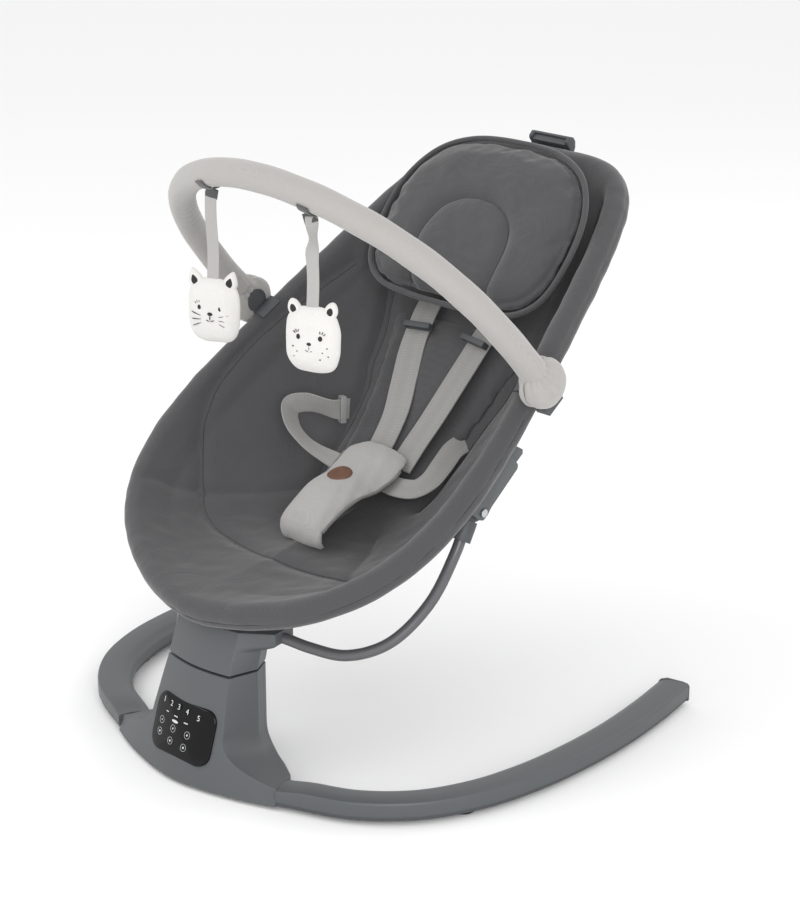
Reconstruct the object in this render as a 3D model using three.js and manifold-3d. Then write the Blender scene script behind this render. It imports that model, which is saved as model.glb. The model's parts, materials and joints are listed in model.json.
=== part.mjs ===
// Baby swing: a U-shaped floor base with a front tower, a swivelling turret, two support
// tubes that carry a reclining bucket seat, a harness and a soft toy bar with two toys.
// Millimetres, +Z up. Origin: on the floor, below the middle of the overall box.
// +Y runs from the tower (foot end) to the head end, +X is the right side seen from the tower.

import * as THREE from 'three';
import { mergeVertices } from 'three/addons/utils/BufferGeometryUtils.js';
import Module from 'manifold-3d';

const wasm = await Module();
wasm.setup();

// ---------------------------------------------------------------- driving dimensions

const GAP = 0.3;              // air between pieces that touch
const SIDES = 16;             // facets round a pin or a bore

const base = {
  halfWidth: 314,             // floor ring, centre to outer edge
  front: -311.2,              // outer edge at the tower
  depth: 549,                 // front edge to the tips of the legs
  bottom: 4.5,                // underside above the floor
  railWidth: 41,
  railTop: 27,
  wall: 3,
  seamX: 130.5,               // tower casing meets the legs here
  trayTop: 10,
  footRadius: 14,
};

const tower = {
  flareTop: 66,               // the sides start to flare into the rails below this
  flareBottom: 23,
  top: 124,
  topHalfWidth: 49,
  flareHalfWidth: 57,
  sideHalfWidth: 57,          // widest line, behind the front corner
  sideY: -232,
  rearHalfWidth: 44,
  rearY: -202,
  rearCornerY: -208,
  frontFlare: 2.6,            // how late the front corners sweep out: 1 is a straight slope
  rearFlare: 5,
  lean: 0.29,                 // front face leans back, mm per mm of height
  splitY: -215,               // front shell meets rear cover
  inletZ: 40,
  inletRadius: 6,
};

const turret = {
  gap: 3,                     // dark line between tower and turret
  shoulder: 154,              // wings start here
  top: 173,
  wingHalfWidth: 80,
  wingSideY: -226,
  wingRearY: -190,
  shaftY: -232,
  shaftRadius: 8,
  shaftBottom: 56,
  swingClearance: 0.3,
  flange: 4,
  armHalf: [34, 12],          // magnet arm across and along
  armThickness: 6,
};

const bearing = { outer: 13, height: 8, shelf: 2.5, lower: 68, upper: 108 };
const speaker = { x: 80, forward: 20, radius: 14, top: 17 };
const coilRadius = 18;

const panel = { halfWidth: 47.5, bottom: 27, top: 88, corner: 12, proud: 3, back: -4, bevel: 1.2 };
const board = { thickness: 1.6, behind: 13, across: 1.5, up: 0.6 };

const seat = {
  footY: -268.7,
  footZ: 193,
  angle: THREE.MathUtils.degToRad(35.73),   // rim plane, foot to head
  length: 690,
  midHalfWidth: 210.7,
  taper: -57.4,               // foot half is wider than the head half
  fullness: 50.9,             // extra width toward both ends
  footPower: 1.2,             // 1 is an ellipse end, less is squarer
  headPower: 0.46,
  depth: 105,                  // inside, below the rim plane
  deepest: 236,               // distance of the deepest point from the foot end
  bowlFoot: 1.05,             // slope of the bowl toward the foot: 1 is straight
  bowlHead: 1.4,
  bowlSide: 1.9,              // added at the sides, where it turns up sharply
  padding: 13,
  tubeRadius: 10,
  sleeveRadius: 15,
};

const support = { radius: 6.3, socketRadius: 11.5, socketLength: 21, lugThickness: 6 };

const bracket = {
  start: 224,                 // distances along the rim plane from the foot end
  end: 309,
  drop: 46,                   // how far it hangs below the rim plane
  thickness: 11,
  tongue: 6,
  inboard: 8,                 // centre plane inside the rim line
  pivot: [241.2, -seat.sleeveRadius - 24.6],
  stop: [247.2, -seat.sleeveRadius - 3],
  rivetRadius: 3.5,
  recline: THREE.MathUtils.degToRad(12),
};

const bar = {
  outboard: seat.sleeveRadius + 11.8,  // pivots outside the rim line
  height: 295,
  tilt: THREE.MathUtils.degToRad(42),
  sleeveRadius: 15.5,
  coreRadius: 4,
  along: 379,                 // pivot, measured along the rim plane
  above: seat.sleeveRadius + 7,  // pivot, above the rim plane
  hubRadius: 27,
  hubWidth: 18,
  pinRadius: 6,
  clipWall: 2.2,
  sidePower: 1.066,
  topPower: 0.674,
};

const toys = {
  x: 78,
  loopWidth: 14,
  loopWall: 2,
  loopSlack: 2.2,
  ribbon: 101,
  ribbonHalf: 1,
  width: 62,
  height: 72,
  thickness: 22,
  twist: 0.7,
};

const slider = { stem: 18, low: -32, stemHeight: 9, stemHalf: 3, slack: 0.4 };

const harness = {
  webbing: 31,
  waistWebbing: 25,
  thickness: 2.4,
  shoulderAlong: 484,
  shoulderX: 47,
  lift: 2.2,                  // soft pieces ride this far above what is under them
};

const backPanel = { start: 244, end: 476, startHalfWidth: 76, endHalfWidth: 112, thickness: 9 };

const topClip = { depth: 13, halfWidth: 30, cheek: 5, recess: 5 };

const buckle = { along: 268, halfLength: 20, halfWidth: 23, thickness: 12, button: 8 };

const badge = { along: 236, radius: 13, thickness: 1.4, above: 17.6 };

const pillow = {
  centre: 566,
  halfLength: 114,
  halfWidth: 141,
  thickness: 38,
  over: 8,                    // air under its lower edge, where the straps pass
  top: 22,                    // height of its head end above the rim plane
  curl: 14,                   // its sides lift by this
  squareness: 0.72,           // 1 is an ellipse, less is squarer
};

// ---------------------------------------------------------------- colours

const plastic = { color: 0x65686a, roughness: 0.55, metalness: 0 };
const darkPlastic = { color: 0x47494b, roughness: 0.6, metalness: 0 };
const fabric = { color: 0x565657, roughness: 0.95, metalness: 0 };
const darkFabric = { color: 0x484848, roughness: 0.95, metalness: 0 };
const webbing = { color: 0x9b9a99, roughness: 0.9, metalness: 0 };
const paleFabric = { color: 0xbdb9b6, roughness: 0.95, metalness: 0 };
const leather = { color: 0x574031, roughness: 0.6, metalness: 0 };
const plush = { color: 0xe6e4e1, roughness: 1, metalness: 0 };
const paintedSteel = { color: 0x464549, roughness: 0.45, metalness: 0.3 };
const steel = { color: 0xb4b6b8, roughness: 0.3, metalness: 1 };
const rubber = { color: 0x2b2c2d, roughness: 0.85, metalness: 0 };
const glossBlack = { color: 0x1f1f21, roughness: 0.12, metalness: 0 };
const circuit = { color: 0x1e5a3a, roughness: 0.6, metalness: 0 };
const copper = { color: 0x9a5a32, roughness: 0.4, metalness: 0.9 };

// ---------------------------------------------------------------- small tools

const swing = new THREE.Group();

function vec(x, y, z) {
  return new THREE.Vector3(x, y, z);
}

function geometryOf(positions, index) {
  const geometry = new THREE.BufferGeometry();
  geometry.setAttribute('position', new THREE.Float32BufferAttribute(positions, 3));
  geometry.setIndex(index);
  return geometry;
}

function solid(geometry) {
  const bare = geometry.clone();
  bare.deleteAttribute('normal');
  bare.deleteAttribute('uv');
  const merged = mergeVertices(bare, 1e-4);
  return new wasm.Manifold(new wasm.Mesh({
    numProp: 3,
    vertProperties: new Float32Array(merged.attributes.position.array),
    triVerts: new Uint32Array(merged.index.array),
  }));
}

// Geometry of a shape that may still be a solid.
function geometryFrom(shape) {
  if (shape.isBufferGeometry) return shape;
  const mesh = shape.getMesh();
  return geometryOf(mesh.vertProperties, Array.from(mesh.triVerts));
}

function add(name, shape, finish) {
  const geometry = geometryFrom(shape);
  geometry.computeVertexNormals();
  const piece = new THREE.Mesh(geometry, new THREE.MeshStandardMaterial(finish));
  piece.name = name;
  swing.add(piece);
}

// Skin over a stack of rings with equal point counts. Each end is closed by a fan, or by
// triangulating the ring's own flat outline where the section isn't convex.
function loft(rings, outline = null, closed = false) {
  const count = rings[0].length;
  const positions = rings.flat().flatMap((p) => [p.x, p.y, p.z]);
  const index = [];
  const spans = closed ? rings.length : rings.length - 1;
  for (let i = 0; i < spans; i++) {
    const next = ((i + 1) % rings.length) * count;
    for (let j = 0; j < count; j++) {
      const k = (j + 1) % count;
      const here = i * count;
      index.push(here + j, here + k, next + k, here + j, next + k, next + j);
    }
  }
  if (!closed && outline) {
    const last = (rings.length - 1) * count;
    const clockwise = THREE.ShapeUtils.isClockWise(outline);
    for (const face of THREE.ShapeUtils.triangulateShape(outline, [])) {
      const [a, b, c] = clockwise ? [...face].reverse() : face;
      index.push(c, b, a, last + a, last + b, last + c);
    }
  } else if (!closed) {
    [0, rings.length - 1].forEach((which) => {
      const centre = rings[which].reduce((sum, p) => sum.add(p), vec(0, 0, 0)).divideScalar(count);
      const hub = positions.length / 3;
      positions.push(centre.x, centre.y, centre.z);
      for (let j = 0; j < count; j++) {
        const a = which * count + j;
        const b = which * count + (j + 1) % count;
        if (which === 0) index.push(hub, b, a);
        else index.push(hub, a, b);
      }
    });
  }
  return outwards(geometryOf(positions, index));
}

// Turns the faces over when the enclosed volume comes out negative.
function outwards(geometry) {
  const p = geometry.attributes.position;
  const order = Array.from(geometry.index.array);
  const corner = (i) => vec(p.getX(order[i]), p.getY(order[i]), p.getZ(order[i]));
  let volume = 0;
  for (let i = 0; i < order.length; i += 3) {
    volume += corner(i).dot(corner(i + 1).cross(corner(i + 2)));
  }
  if (volume < 0) {
    for (let i = 0; i < order.length; i += 3) {
      [order[i], order[i + 1]] = [order[i + 1], order[i]];
    }
    geometry.setIndex(order);
  }
  return geometry;
}

function circleOutline(radius, sides) {
  return Array.from({ length: sides }, (_, i) => {
    const a = (2 * Math.PI * i) / sides;
    return new THREE.Vector2(radius * Math.cos(a), radius * Math.sin(a));
  });
}

function tube(curve, radius, steps, sides, closed = false) {
  const frames = curve.computeFrenetFrames(steps, closed);
  const rings = [];
  for (let i = 0; i < (closed ? steps : steps + 1); i++) {
    const centre = curve.getPointAt(i / steps);
    rings.push(circleOutline(radius, sides).map((c) => centre.clone()
      .addScaledVector(frames.normals[i], c.x)
      .addScaledVector(frames.binormals[i], c.y)));
  }
  return loft(rings, null, closed);
}

// Cylinder between two points.
function rod(from, to, radius, sides = SIDES) {
  const geometry = new THREE.CylinderGeometry(radius, radius, from.distanceTo(to), sides);
  const turn = new THREE.Quaternion().setFromUnitVectors(vec(0, 1, 0), to.clone().sub(from).normalize());
  geometry.applyQuaternion(turn);
  geometry.translate((from.x + to.x) / 2, (from.y + to.y) / 2, (from.z + to.z) / 2);
  return geometry;
}

// Box from its lowest to its highest corner.
function block(low, high) {
  const geometry = new THREE.BoxGeometry(high[0] - low[0], high[1] - low[1], high[2] - low[2]);
  geometry.translate((low[0] + high[0]) / 2, (low[1] + high[1]) / 2, (low[2] + high[2]) / 2);
  return geometry;
}

function mirrored(geometry) {
  const copy = geometry.clone();
  copy.scale(-1, 1, 1);
  return outwards(copy);
}

// Adds a right piece and its mirror image on the left.
function addPair(prefix, suffix, shape, finish) {
  const right = geometryFrom(shape);
  const tail = suffix ? `_${suffix}` : '';
  add(`${prefix}_right${tail}`, right, finish);
  add(`${prefix}_left${tail}`, mirrored(right), finish);
}

// ---------------------------------------------------------------- base ring and tower

// Outer edge of the floor ring, right half, as shares of half width and depth.
const edgeCurve = new THREE.CatmullRomCurve3([
  [-0.2325, 0.0237], [0, 0], [0.2325, 0.0237], [0.4522, 0.071], [0.669, 0.1257], [0.8376, 0.2186],
  [0.9395, 0.3388], [0.987, 0.47], [1, 0.6066], [0.99, 0.7413], [0.9586, 0.8743], [0.914, 1],
].map(([across, back]) => vec(base.halfWidth * across, base.front + base.depth * back, 0)));

// Share of the edge curve's length at which it reaches a distance from the middle plane.
function edgeShareAt(x) {
  let low = 0;
  let high = 0.5;
  for (let i = 0; i < 40; i++) {
    const mid = (low + high) / 2;
    if (edgeCurve.getPointAt(mid).x < x) low = mid;
    else high = mid;
  }
  return (low + high) / 2;
}

const seamShare = edgeShareAt(base.seamX);

function edgeY(x) {
  return edgeCurve.getPointAt(edgeShareAt(Math.min(Math.abs(x), base.halfWidth * 0.9))).y;
}

// Front of the casing at a height: the floor ring's edge, leaning back and slightly more so higher up.
function frontY(x, z) {
  const rise = z - base.bottom;
  return edgeY(x) + tower.lean * rise + 0.0002 * rise * rise;
}

function edgeFrame(share) {
  const along = edgeCurve.getTangentAt(share);
  return { point: edgeCurve.getPointAt(share), inward: vec(-along.y, along.x, 0) };
}

function lerp(a, b, t) {
  return a + (b - a) * t;
}

const FRONT_POINTS = 9;
const REAR_POINTS = 5;

// Closed plan outline from its corner widths: front corner, side and rear corner.
function casingRing(z, inset, shape) {
  const ring = [];
  for (let i = 0; i < FRONT_POINTS; i++) {
    const x = (shape.front - inset) * (2 * i / (FRONT_POINTS - 1) - 1);
    ring.push(vec(x, frontY(x, z) + inset, z));
  }
  ring.push(vec(shape.side - inset, shape.sideY, z));
  for (let i = 0; i < REAR_POINTS; i++) {
    const t = 1 - 2 * i / (REAR_POINTS - 1);
    const bulge = (shape.rearY - shape.cornerY) * (1 - t * t);
    ring.push(vec((shape.rear - inset) * t, shape.cornerY + bulge - inset, z));
  }
  ring.push(vec(inset - shape.side, shape.sideY, z));
  return ring;
}

function towerShape(z) {
  const climb = THREE.MathUtils.clamp((tower.top - z) / (tower.top - tower.flareTop), 0, 1);
  const sink = THREE.MathUtils.clamp((tower.flareTop - z) / (tower.flareTop - tower.flareBottom), 0, 1);
  const flare = sink ** tower.frontFlare;
  const backFlare = sink ** tower.rearFlare;
  const seam = edgeFrame(seamShare);
  const seamBack = tower.lean * (z - base.bottom) / seam.inward.y;
  const inner = seam.point.clone().addScaledVector(seam.inward, base.railWidth);
  const middle = seam.point.clone().lerp(inner, 0.5);
  return {
    front: lerp(
      lerp(tower.topHalfWidth, tower.flareHalfWidth, climb), base.seamX + seam.inward.x * seamBack, flare,
    ),
    side: lerp(tower.sideHalfWidth, middle.x, backFlare),
    sideY: lerp(tower.sideY, middle.y, backFlare),
    rear: lerp(tower.rearHalfWidth, inner.x, backFlare),
    cornerY: lerp(tower.rearCornerY, inner.y, backFlare),
    rearY: tower.rearY,
  };
}

const towerLevels = [0, 0.3, 0.5, 0.66, 0.8, 0.9, 1]
  .map((t) => lerp(tower.flareTop, tower.flareBottom, t));

function towerBody(inset, bottom, top) {
  const levels = [top, ...towerLevels, bottom];
  return solid(loft(levels.map((z) => casingRing(z, inset, towerShape(z)))));
}

const behindSplit = block([-500, tower.splitY, -10], [500, 400, 400]);
const behindSplitCut = block([-500, tower.splitY - GAP, -10], [500, 400, 400]);
const axisLow = vec(0, turret.shaftY, base.bottom);

function shaftHole(radius, bottom, top) {
  return solid(rod(vec(0, turret.shaftY, bottom), vec(0, turret.shaftY, top), radius));
}

// Rounded outline of the touch panel as [x, z] pairs, grown by a margin.
function panelOutline(margin, scale) {
  const halfHeight = (panel.top - panel.bottom) / 2 + margin;
  const halfWidth = panel.halfWidth + margin;
  const middle = (panel.top + panel.bottom) / 2;
  const points = [];
  for (let quarter = 0; quarter < 4; quarter++) {
    const sx = quarter === 0 || quarter === 3 ? 1 : -1;
    const sz = quarter < 2 ? 1 : -1;
    for (let i = 0; i <= 3; i++) {
      const a = (quarter + i / 3) * Math.PI / 2;
      const x = sx * (halfWidth - panel.corner) + panel.corner * Math.cos(a);
      const z = sz * (halfHeight - panel.corner) + panel.corner * Math.sin(a);
      points.push([x * scale, middle + z * scale]);
    }
  }
  return points;
}

// Plate that follows the casing's front: steps are [outline scale, distance out of the face].
function facePlate(margin, steps) {
  return loft(steps.map(([scale, out]) => panelOutline(margin, scale)
    .map(([x, z]) => vec(x, frontY(x, z) - out, z))));
}

function addTower() {
  const cavityTop = tower.top - base.wall;
  const outer = towerBody(0, base.bottom, tower.top);
  const inner = towerBody(base.wall, base.bottom - 1, cavityTop);
  const shelfLow = bearing.lower - bearing.shelf - GAP;
  const shelfHigh = bearing.upper - bearing.shelf - GAP;
  const casing = outer.subtract(inner);
  const behind = panel.back - 3 * base.wall;
  const ahead = 4 * panel.proud;
  const window = solid(facePlate(GAP, [[0.05, behind], [1, behind], [1, ahead], [0.05, ahead]]));
  const shelves = [shelfLow, shelfHigh].map((z) => towerBody(base.wall - 0.5, base.bottom, cavityTop)
    .intersect(solid(block([-200, -400, z], [200, 0, z + bearing.shelf]))));
  const front = casing.add(shelves[0]).add(shelves[1])
    .subtract(solid(behindSplitCut))
    .subtract(window)
    .subtract(shaftHole(turret.shaftRadius + 2, base.bottom, tower.top + 5));
  add('tower_front_shell', front, plastic);

  const inlet = rearRod(20, 20, tower.inletRadius + GAP);
  const rear = casing.intersect(solid(behindSplit)).subtract(inlet)
    .subtract(shaftHole(turret.shaftRadius + 2, bearing.upper, tower.top + 5));
  add('tower_rear_cover', rear, plastic);

  const plateInset = base.wall + 3 * GAP;
  add('tower_base_plate', loft([base.bottom + 3, base.bottom]
    .map((z) => casingRing(z, plateInset, towerShape(z)))), darkPlastic);
}

// Round bar through the rear wall at the power inlet.
function rearRod(inside, outside, radius) {
  const at = (y) => vec(0, tower.rearY + y, tower.inletZ);
  return solid(rod(at(-inside), at(outside), radius));
}

function addTowerInsides() {
  const { back, proud, bevel } = panel;
  add('control_panel', facePlate(0, [
    [0.05, back], [0.6, back], [1, back], [1, proud - bevel], [0.965, proud], [0.6, proud], [0.05, proud],
  ]), glossBlack);

  const middle = (panel.top + panel.bottom) / 2;
  const boardHeight = board.up * (panel.top - panel.bottom);
  const card = new THREE.BoxGeometry(board.across * panel.halfWidth, board.thickness, boardHeight);
  card.rotateX(-Math.atan(tower.lean));
  card.translate(0, frontY(0, middle) + board.behind, middle);
  add('control_board', card, circuit);

  const speakerAt = (z) => vec(speaker.x, turret.shaftY - speaker.forward, z);
  add('speaker', rod(speakerAt(base.bottom + 4), speakerAt(speaker.top), speaker.radius), darkPlastic);

  const coilTop = turret.shaftBottom - 4;
  const coilLow = base.bottom + 3 + GAP;
  const coil = rod(axisLow.clone().setZ(coilLow), axisLow.clone().setZ(coilTop), coilRadius, 20);
  add('drive_coil', coil, copper);

  const jack = rearRod(11, 1, tower.inletRadius);
  add('power_inlet', jack.subtract(rearRod(7, 6, tower.inletRadius / 2)), rubber);

  for (const [name, z] of [['lower_bearing', bearing.lower], ['upper_bearing', bearing.upper]]) {
    const ring = shaftHole(bearing.outer, z, z + bearing.height)
      .subtract(shaftHole(turret.shaftRadius + turret.swingClearance, z - 1, z + bearing.height + 1));
    add(name, ring, steel);
  }
}

// ---------------------------------------------------------------- legs and feet

// Sweeps a section of [distance in from the edge, height] along the leg.
function legSweep(section, from, to, steps) {
  const rings = [];
  for (let i = 0; i <= steps; i++) {
    const { point, inward } = edgeFrame(lerp(from, to, i / steps));
    rings.push(section.map(([inset, z]) => point.clone().addScaledVector(inward, inset).setZ(z)));
  }
  return loft(rings, section.map(([inset, z]) => new THREE.Vector2(inset, z)));
}

function addLegs() {
  const width = base.railWidth;
  const crown = base.railTop;
  const wall = base.wall;
  const low = base.trayTop + GAP;
  const cover = [
    [0, low], [0, crown - 4], [2.5, crown - 1], [9, crown], [width - 12, crown], [width - 3, crown - 3.5],
    [width, crown - 10], [width, low], [width - wall, low], [width - wall, crown - 10],
    [width - 12, crown - wall], [9, crown - wall], [wall, crown - 5], [wall, low],
  ];
  const bottom = base.bottom;
  const tray = [
    [1.5, bottom], [1.5, base.trayTop], [1.5 + wall, base.trayTop], [1.5 + wall, bottom + wall],
    [width - 2 - wall, bottom + wall], [width - 2 - wall, base.trayTop],
    [width - 2, base.trayTop], [width - 2, bottom],
  ];
  const length = edgeCurve.getLength();
  const start = seamShare + GAP / length;
  const end = 1 - 5 / length;
  addPair('leg', 'cover', legSweep(cover, start, end, 18), plastic);
  addPair('leg', 'tray', legSweep(tray, start, end, 18), darkPlastic);
  const cap = [[0, bottom], [0, crown - 4], [2.5, crown - 1], [9, crown], [width - 12, crown],
    [width - 3, crown - 3.5], [width, crown - 10], [width, bottom]];
  addPair('leg', 'end_cap', legSweep(cap, end + GAP / length, 1, 1), plastic);

  for (const [name, share] of [['front', footShare(0.31)], ['rear', 1 - 32 / length]]) {
    const { point, inward } = edgeFrame(share);
    const centre = point.clone().addScaledVector(inward, width / 2);
    const foot = rod(centre.clone().setZ(0), centre.clone().setZ(bottom - GAP), base.footRadius, 24);
    addPair('foot', name, foot, rubber);
  }
}

// Share of the edge curve at which it has gone back a share of the base's depth.
function footShare(back) {
  let low = seamShare;
  let high = 1;
  for (let i = 0; i < 40; i++) {
    const mid = (low + high) / 2;
    if (edgeCurve.getPointAt(mid).y < base.front + base.depth * back) low = mid;
    else high = mid;
  }
  return low;
}

// ---------------------------------------------------------------- turret and support tubes

function turretShape(z) {
  const bottom = tower.top + turret.gap;
  const rise = THREE.MathUtils.clamp((z - bottom) / (turret.shoulder - bottom), 0, 1);
  const wing = THREE.MathUtils.clamp((z - turret.shoulder + 4) / 9, 0, 1);
  return {
    front: lerp(tower.topHalfWidth, tower.topHalfWidth - 1, rise),
    side: lerp(lerp(tower.sideHalfWidth, tower.sideHalfWidth + 7, rise), turret.wingHalfWidth, wing),
    sideY: lerp(tower.sideY, turret.wingSideY, wing),
    rear: lerp(lerp(tower.rearHalfWidth, tower.rearHalfWidth + 7, rise), turret.wingHalfWidth - 6, wing),
    cornerY: lerp(tower.rearCornerY, turret.wingRearY - 4, wing),
    rearY: lerp(tower.rearY, turret.wingRearY, wing),
  };
}

function turretBody(inset, bottom, top) {
  const levels = [bottom, turret.shoulder - 4, turret.shoulder + 1, turret.shoulder + 5, top - 2];
  const rings = levels.map((z) => casingRing(z, inset, turretShape(z)));
  rings.push(casingRing(top, inset + 2, turretShape(top)));
  return solid(loft(rings));
}

// Bent steel tube from inside the turret, under the seat and up to its side.
const pivotPoint = seatPoint(bracket.pivot[0], 0, bracket.pivot[1]);
const bracketX = rimPoint(rimAngleAt((bracket.start + bracket.end) / 2)).x - bracket.inboard;
const socketTop = vec(bracketX, pivotPoint.y - 20, pivotPoint.z - 6);
const socketAxis = vec(0, 0.49, 0.87).normalize();
const socketBottom = socketTop.clone().addScaledVector(socketAxis, -support.socketLength);
const supportCurve = new THREE.CatmullRomCurve3([
  vec(14, -221, turret.shoulder + 10),
  vec(46, -219, turret.shoulder + 10.5),
  vec(78, -210, turret.shoulder + 9),
  vec(104, -199, 157),
  vec(142, -180, 153.5),
  vec(175, -150, 168),
  vec(199, -113, 209),
  socketBottom.clone().addScaledVector(socketAxis, -16),
  socketBottom.clone().addScaledVector(socketAxis, 14),
]);

function addTurret() {
  const bottom = tower.top + turret.gap;
  const outer = turretBody(0, bottom, turret.top);
  const inner = turretBody(base.wall, bottom - 1, turret.top - base.wall);
  const shelf = turretBody(base.wall - 0.5, bottom, turret.top - 1)
    .intersect(solid(block([-200, -400, bottom], [200, 0, bottom + 3])));
  const tubeHole = solid(tube(supportCurve, support.radius + 2 * GAP, 28, 8));
  const otherHole = solid(mirrored(tube(supportCurve, support.radius + 2 * GAP, 28, 8)));
  const casing = outer.subtract(inner).add(shelf)
    .subtract(shaftHole(turret.shaftRadius + GAP, bottom - 1, bottom + 10))
    .subtract(tubeHole).subtract(otherHole);
  add('turret_front_shell', casing.subtract(solid(behindSplitCut)), plastic);
  add('turret_rear_shell', casing.intersect(solid(behindSplit)), plastic);

  const flangeLow = bottom + 3 + GAP;
  const shaft = shaftHole(turret.shaftRadius, turret.shaftBottom, turret.shoulder - 4)
    .add(shaftHole(turret.shaftRadius + 8, flangeLow, flangeLow + turret.flange));
  add('pivot_shaft', shaft, steel);

  const [armX, armY] = turret.armHalf;
  const armLow = turret.shaftBottom + 0.5;
  const armTop = armLow + turret.armThickness;
  const arm = solid(block([-armX, turret.shaftY - armY, armLow], [armX, turret.shaftY + armY, armTop]))
    .subtract(shaftHole(turret.shaftRadius + GAP, armLow - 1, armTop + 1));
  add('drive_magnet_arm', arm, steel);
}

function addSupports() {
  addPair('support_tube', '', tube(supportCurve, support.radius, 28, 8), paintedSteel);

  const socketBore = solid(tube(supportCurve, support.radius + 2 * GAP, 28, 8));
  const half = support.lugThickness / 2;
  const [pivotAlong, pivotUp] = bracket.pivot;
  const [stopAlong, stopUp] = bracket.stop;
  const lugShape = hullOutline([
    ...discPoints(pivotAlong, pivotUp, 8),
    ...discPoints(stopAlong + 2, stopUp, 7.5),
    ...discPoints(pivotAlong - 15, pivotUp + 9, 8),
  ]);
  let lug = solid(sidePlate(lugShape, bracketX - half, bracketX + half));
  const barrel = rod(socketBottom, socketTop.clone().addScaledVector(socketAxis, 2), support.socketRadius);
  lug = lug.add(solid(barrel)).subtract(socketBore);
  lug = lug.subtract(crossPin(pivotAlong, pivotUp, bracket.rivetRadius + 0.4, 40));
  const reach = Math.hypot(stopAlong - pivotAlong, stopUp - pivotUp);
  const rest = Math.atan2(stopUp - pivotUp, stopAlong - pivotAlong);
  for (let i = 0; i <= 5; i++) {
    const angle = rest - bracket.recline * (i / 5) * 1.04;
    const along = pivotAlong + reach * Math.cos(angle);
    const up = pivotUp + reach * Math.sin(angle);
    lug = lug.subtract(crossPin(along, up, bracket.rivetRadius + 0.5, 40));
  }
  addPair('tube_socket', '', lug, darkPlastic);
}

// ---------------------------------------------------------------- seat frame of reference

// Point from its distance along the rim plane, sideways, and height above that plane.
function seatPoint(along, x, up) {
  const c = Math.cos(seat.angle);
  const s = Math.sin(seat.angle);
  return vec(x, seat.footY + along * c - up * s, seat.footZ + along * s + up * c);
}

// Rim centre line as along and sideways. Angle 0 is the foot end, pi the head end.
function rimFlat(angle) {
  const t = (1 - Math.cos(angle)) / 2;
  const end = 2 * t - 1;
  const half = seat.midHalfWidth + seat.taper * end + seat.fullness * end * end;
  const power = lerp(seat.footPower, seat.headPower, t);
  const s = Math.sin(angle);
  return { along: seat.length * t, x: Math.sign(s) * half * Math.abs(s) ** power };
}

function rimPoint(angle) {
  const flat = rimFlat(angle);
  return seatPoint(flat.along, flat.x, 0);
}

function rimAngleAt(along) {
  return Math.acos(1 - 2 * along / seat.length);
}

// Outward direction of the rim, in its plane.
function rimOutward(angle) {
  const a = rimFlat(angle - 0.02);
  const b = rimFlat(angle + 0.02);
  const size = Math.hypot(b.along - a.along, b.x - a.x);
  return { along: -(b.x - a.x) / size, x: (b.along - a.along) / size };
}

// How sharply the bowl turns up: straight toward foot and head, round at the sides.
function bowlPower(angle) {
  const end = lerp(seat.bowlFoot, seat.bowlHead, (1 - Math.cos(angle)) / 2);
  return end + seat.bowlSide * Math.abs(Math.sin(angle)) ** 1.5;
}

// Height of the inner surface at a place, below the rim plane.
function innerUp(along, x) {
  const da = along - seat.deepest;
  const side = Math.abs(x);
  let low = 0.001;
  let high = Math.PI - 0.001;
  for (let i = 0; i < 40; i++) {
    const mid = (low + high) / 2;
    const flat = rimFlat(mid);
    if ((flat.along - seat.deepest) * side - flat.x * da < 0) low = mid;
    else high = mid;
  }
  const edge = rimFlat(low);
  const full = Math.hypot(edge.along - seat.deepest, edge.x) - seat.sleeveRadius;
  const share = Math.min(Math.hypot(da, side) / full, 1);
  return -seat.depth * (1 - share ** bowlPower(low));
}

// Flat plate with an outline in the seat's side view, standing between two sideways positions.
function sidePlate(outline, fromX, toX) {
  const rings = [fromX, toX].map((x) => outline.map(([along, up]) => seatPoint(along, x, up)));
  return loft(rings, outline.map(([along, up]) => new THREE.Vector2(along, up)));
}

function discPoints(along, up, radius) {
  return circleOutline(radius, SIDES).map((p) => [along + p.x, up + p.y]);
}

function crossPin(along, up, radius, half) {
  return solid(sidePlate(discPoints(along, up, radius), bracketX - half, bracketX + half));
}

// Convex outline round a cloud of points.
function hullOutline(points) {
  const sorted = [...points].sort((a, b) => a[0] - b[0] || a[1] - b[1]);
  const turn = (o, a, b) => (a[0] - o[0]) * (b[1] - o[1]) - (a[1] - o[1]) * (b[0] - o[0]);
  const half = (list) => list.reduce((chain, p) => {
    while (chain.length > 1 && turn(chain.at(-2), chain.at(-1), p) <= 1e-6) chain.pop();
    chain.push(p);
    return chain;
  }, []);
  return [...half(sorted).slice(0, -1), ...half(sorted.reverse()).slice(0, -1)];
}

// ---------------------------------------------------------------- seat

const AROUND = 36;

// One closed loop round the bowl: share of the way to the rim, and height there.
function bowlRing(share, rise, inset) {
  return Array.from({ length: AROUND }, (_, i) => {
    const angle = (2 * Math.PI * i) / AROUND;
    const folded = angle > Math.PI ? 2 * Math.PI - angle : angle;
    const flat = rimFlat(angle);
    const da = flat.along - seat.deepest;
    const full = Math.hypot(da, flat.x);
    const scale = share * (full - inset) / full;
    const up = -(seat.depth + rise) * (1 - share ** bowlPower(folded));
    return seatPoint(seat.deepest + da * scale, flat.x * scale, up);
  });
}

// Point at a distance from the rim's centre line and a turn from its outer side.
function sleevePoint(angle, radius, turn) {
  const flat = rimFlat(angle);
  const out = rimOutward(angle);
  const reach = radius * Math.cos(turn);
  return seatPoint(flat.along + out.along * reach, flat.x + out.x * reach, radius * Math.sin(turn));
}

function sleeveRing(radius, turn) {
  return Array.from({ length: AROUND }, (_, i) => sleevePoint((2 * Math.PI * i) / AROUND, radius, turn));
}

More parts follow.
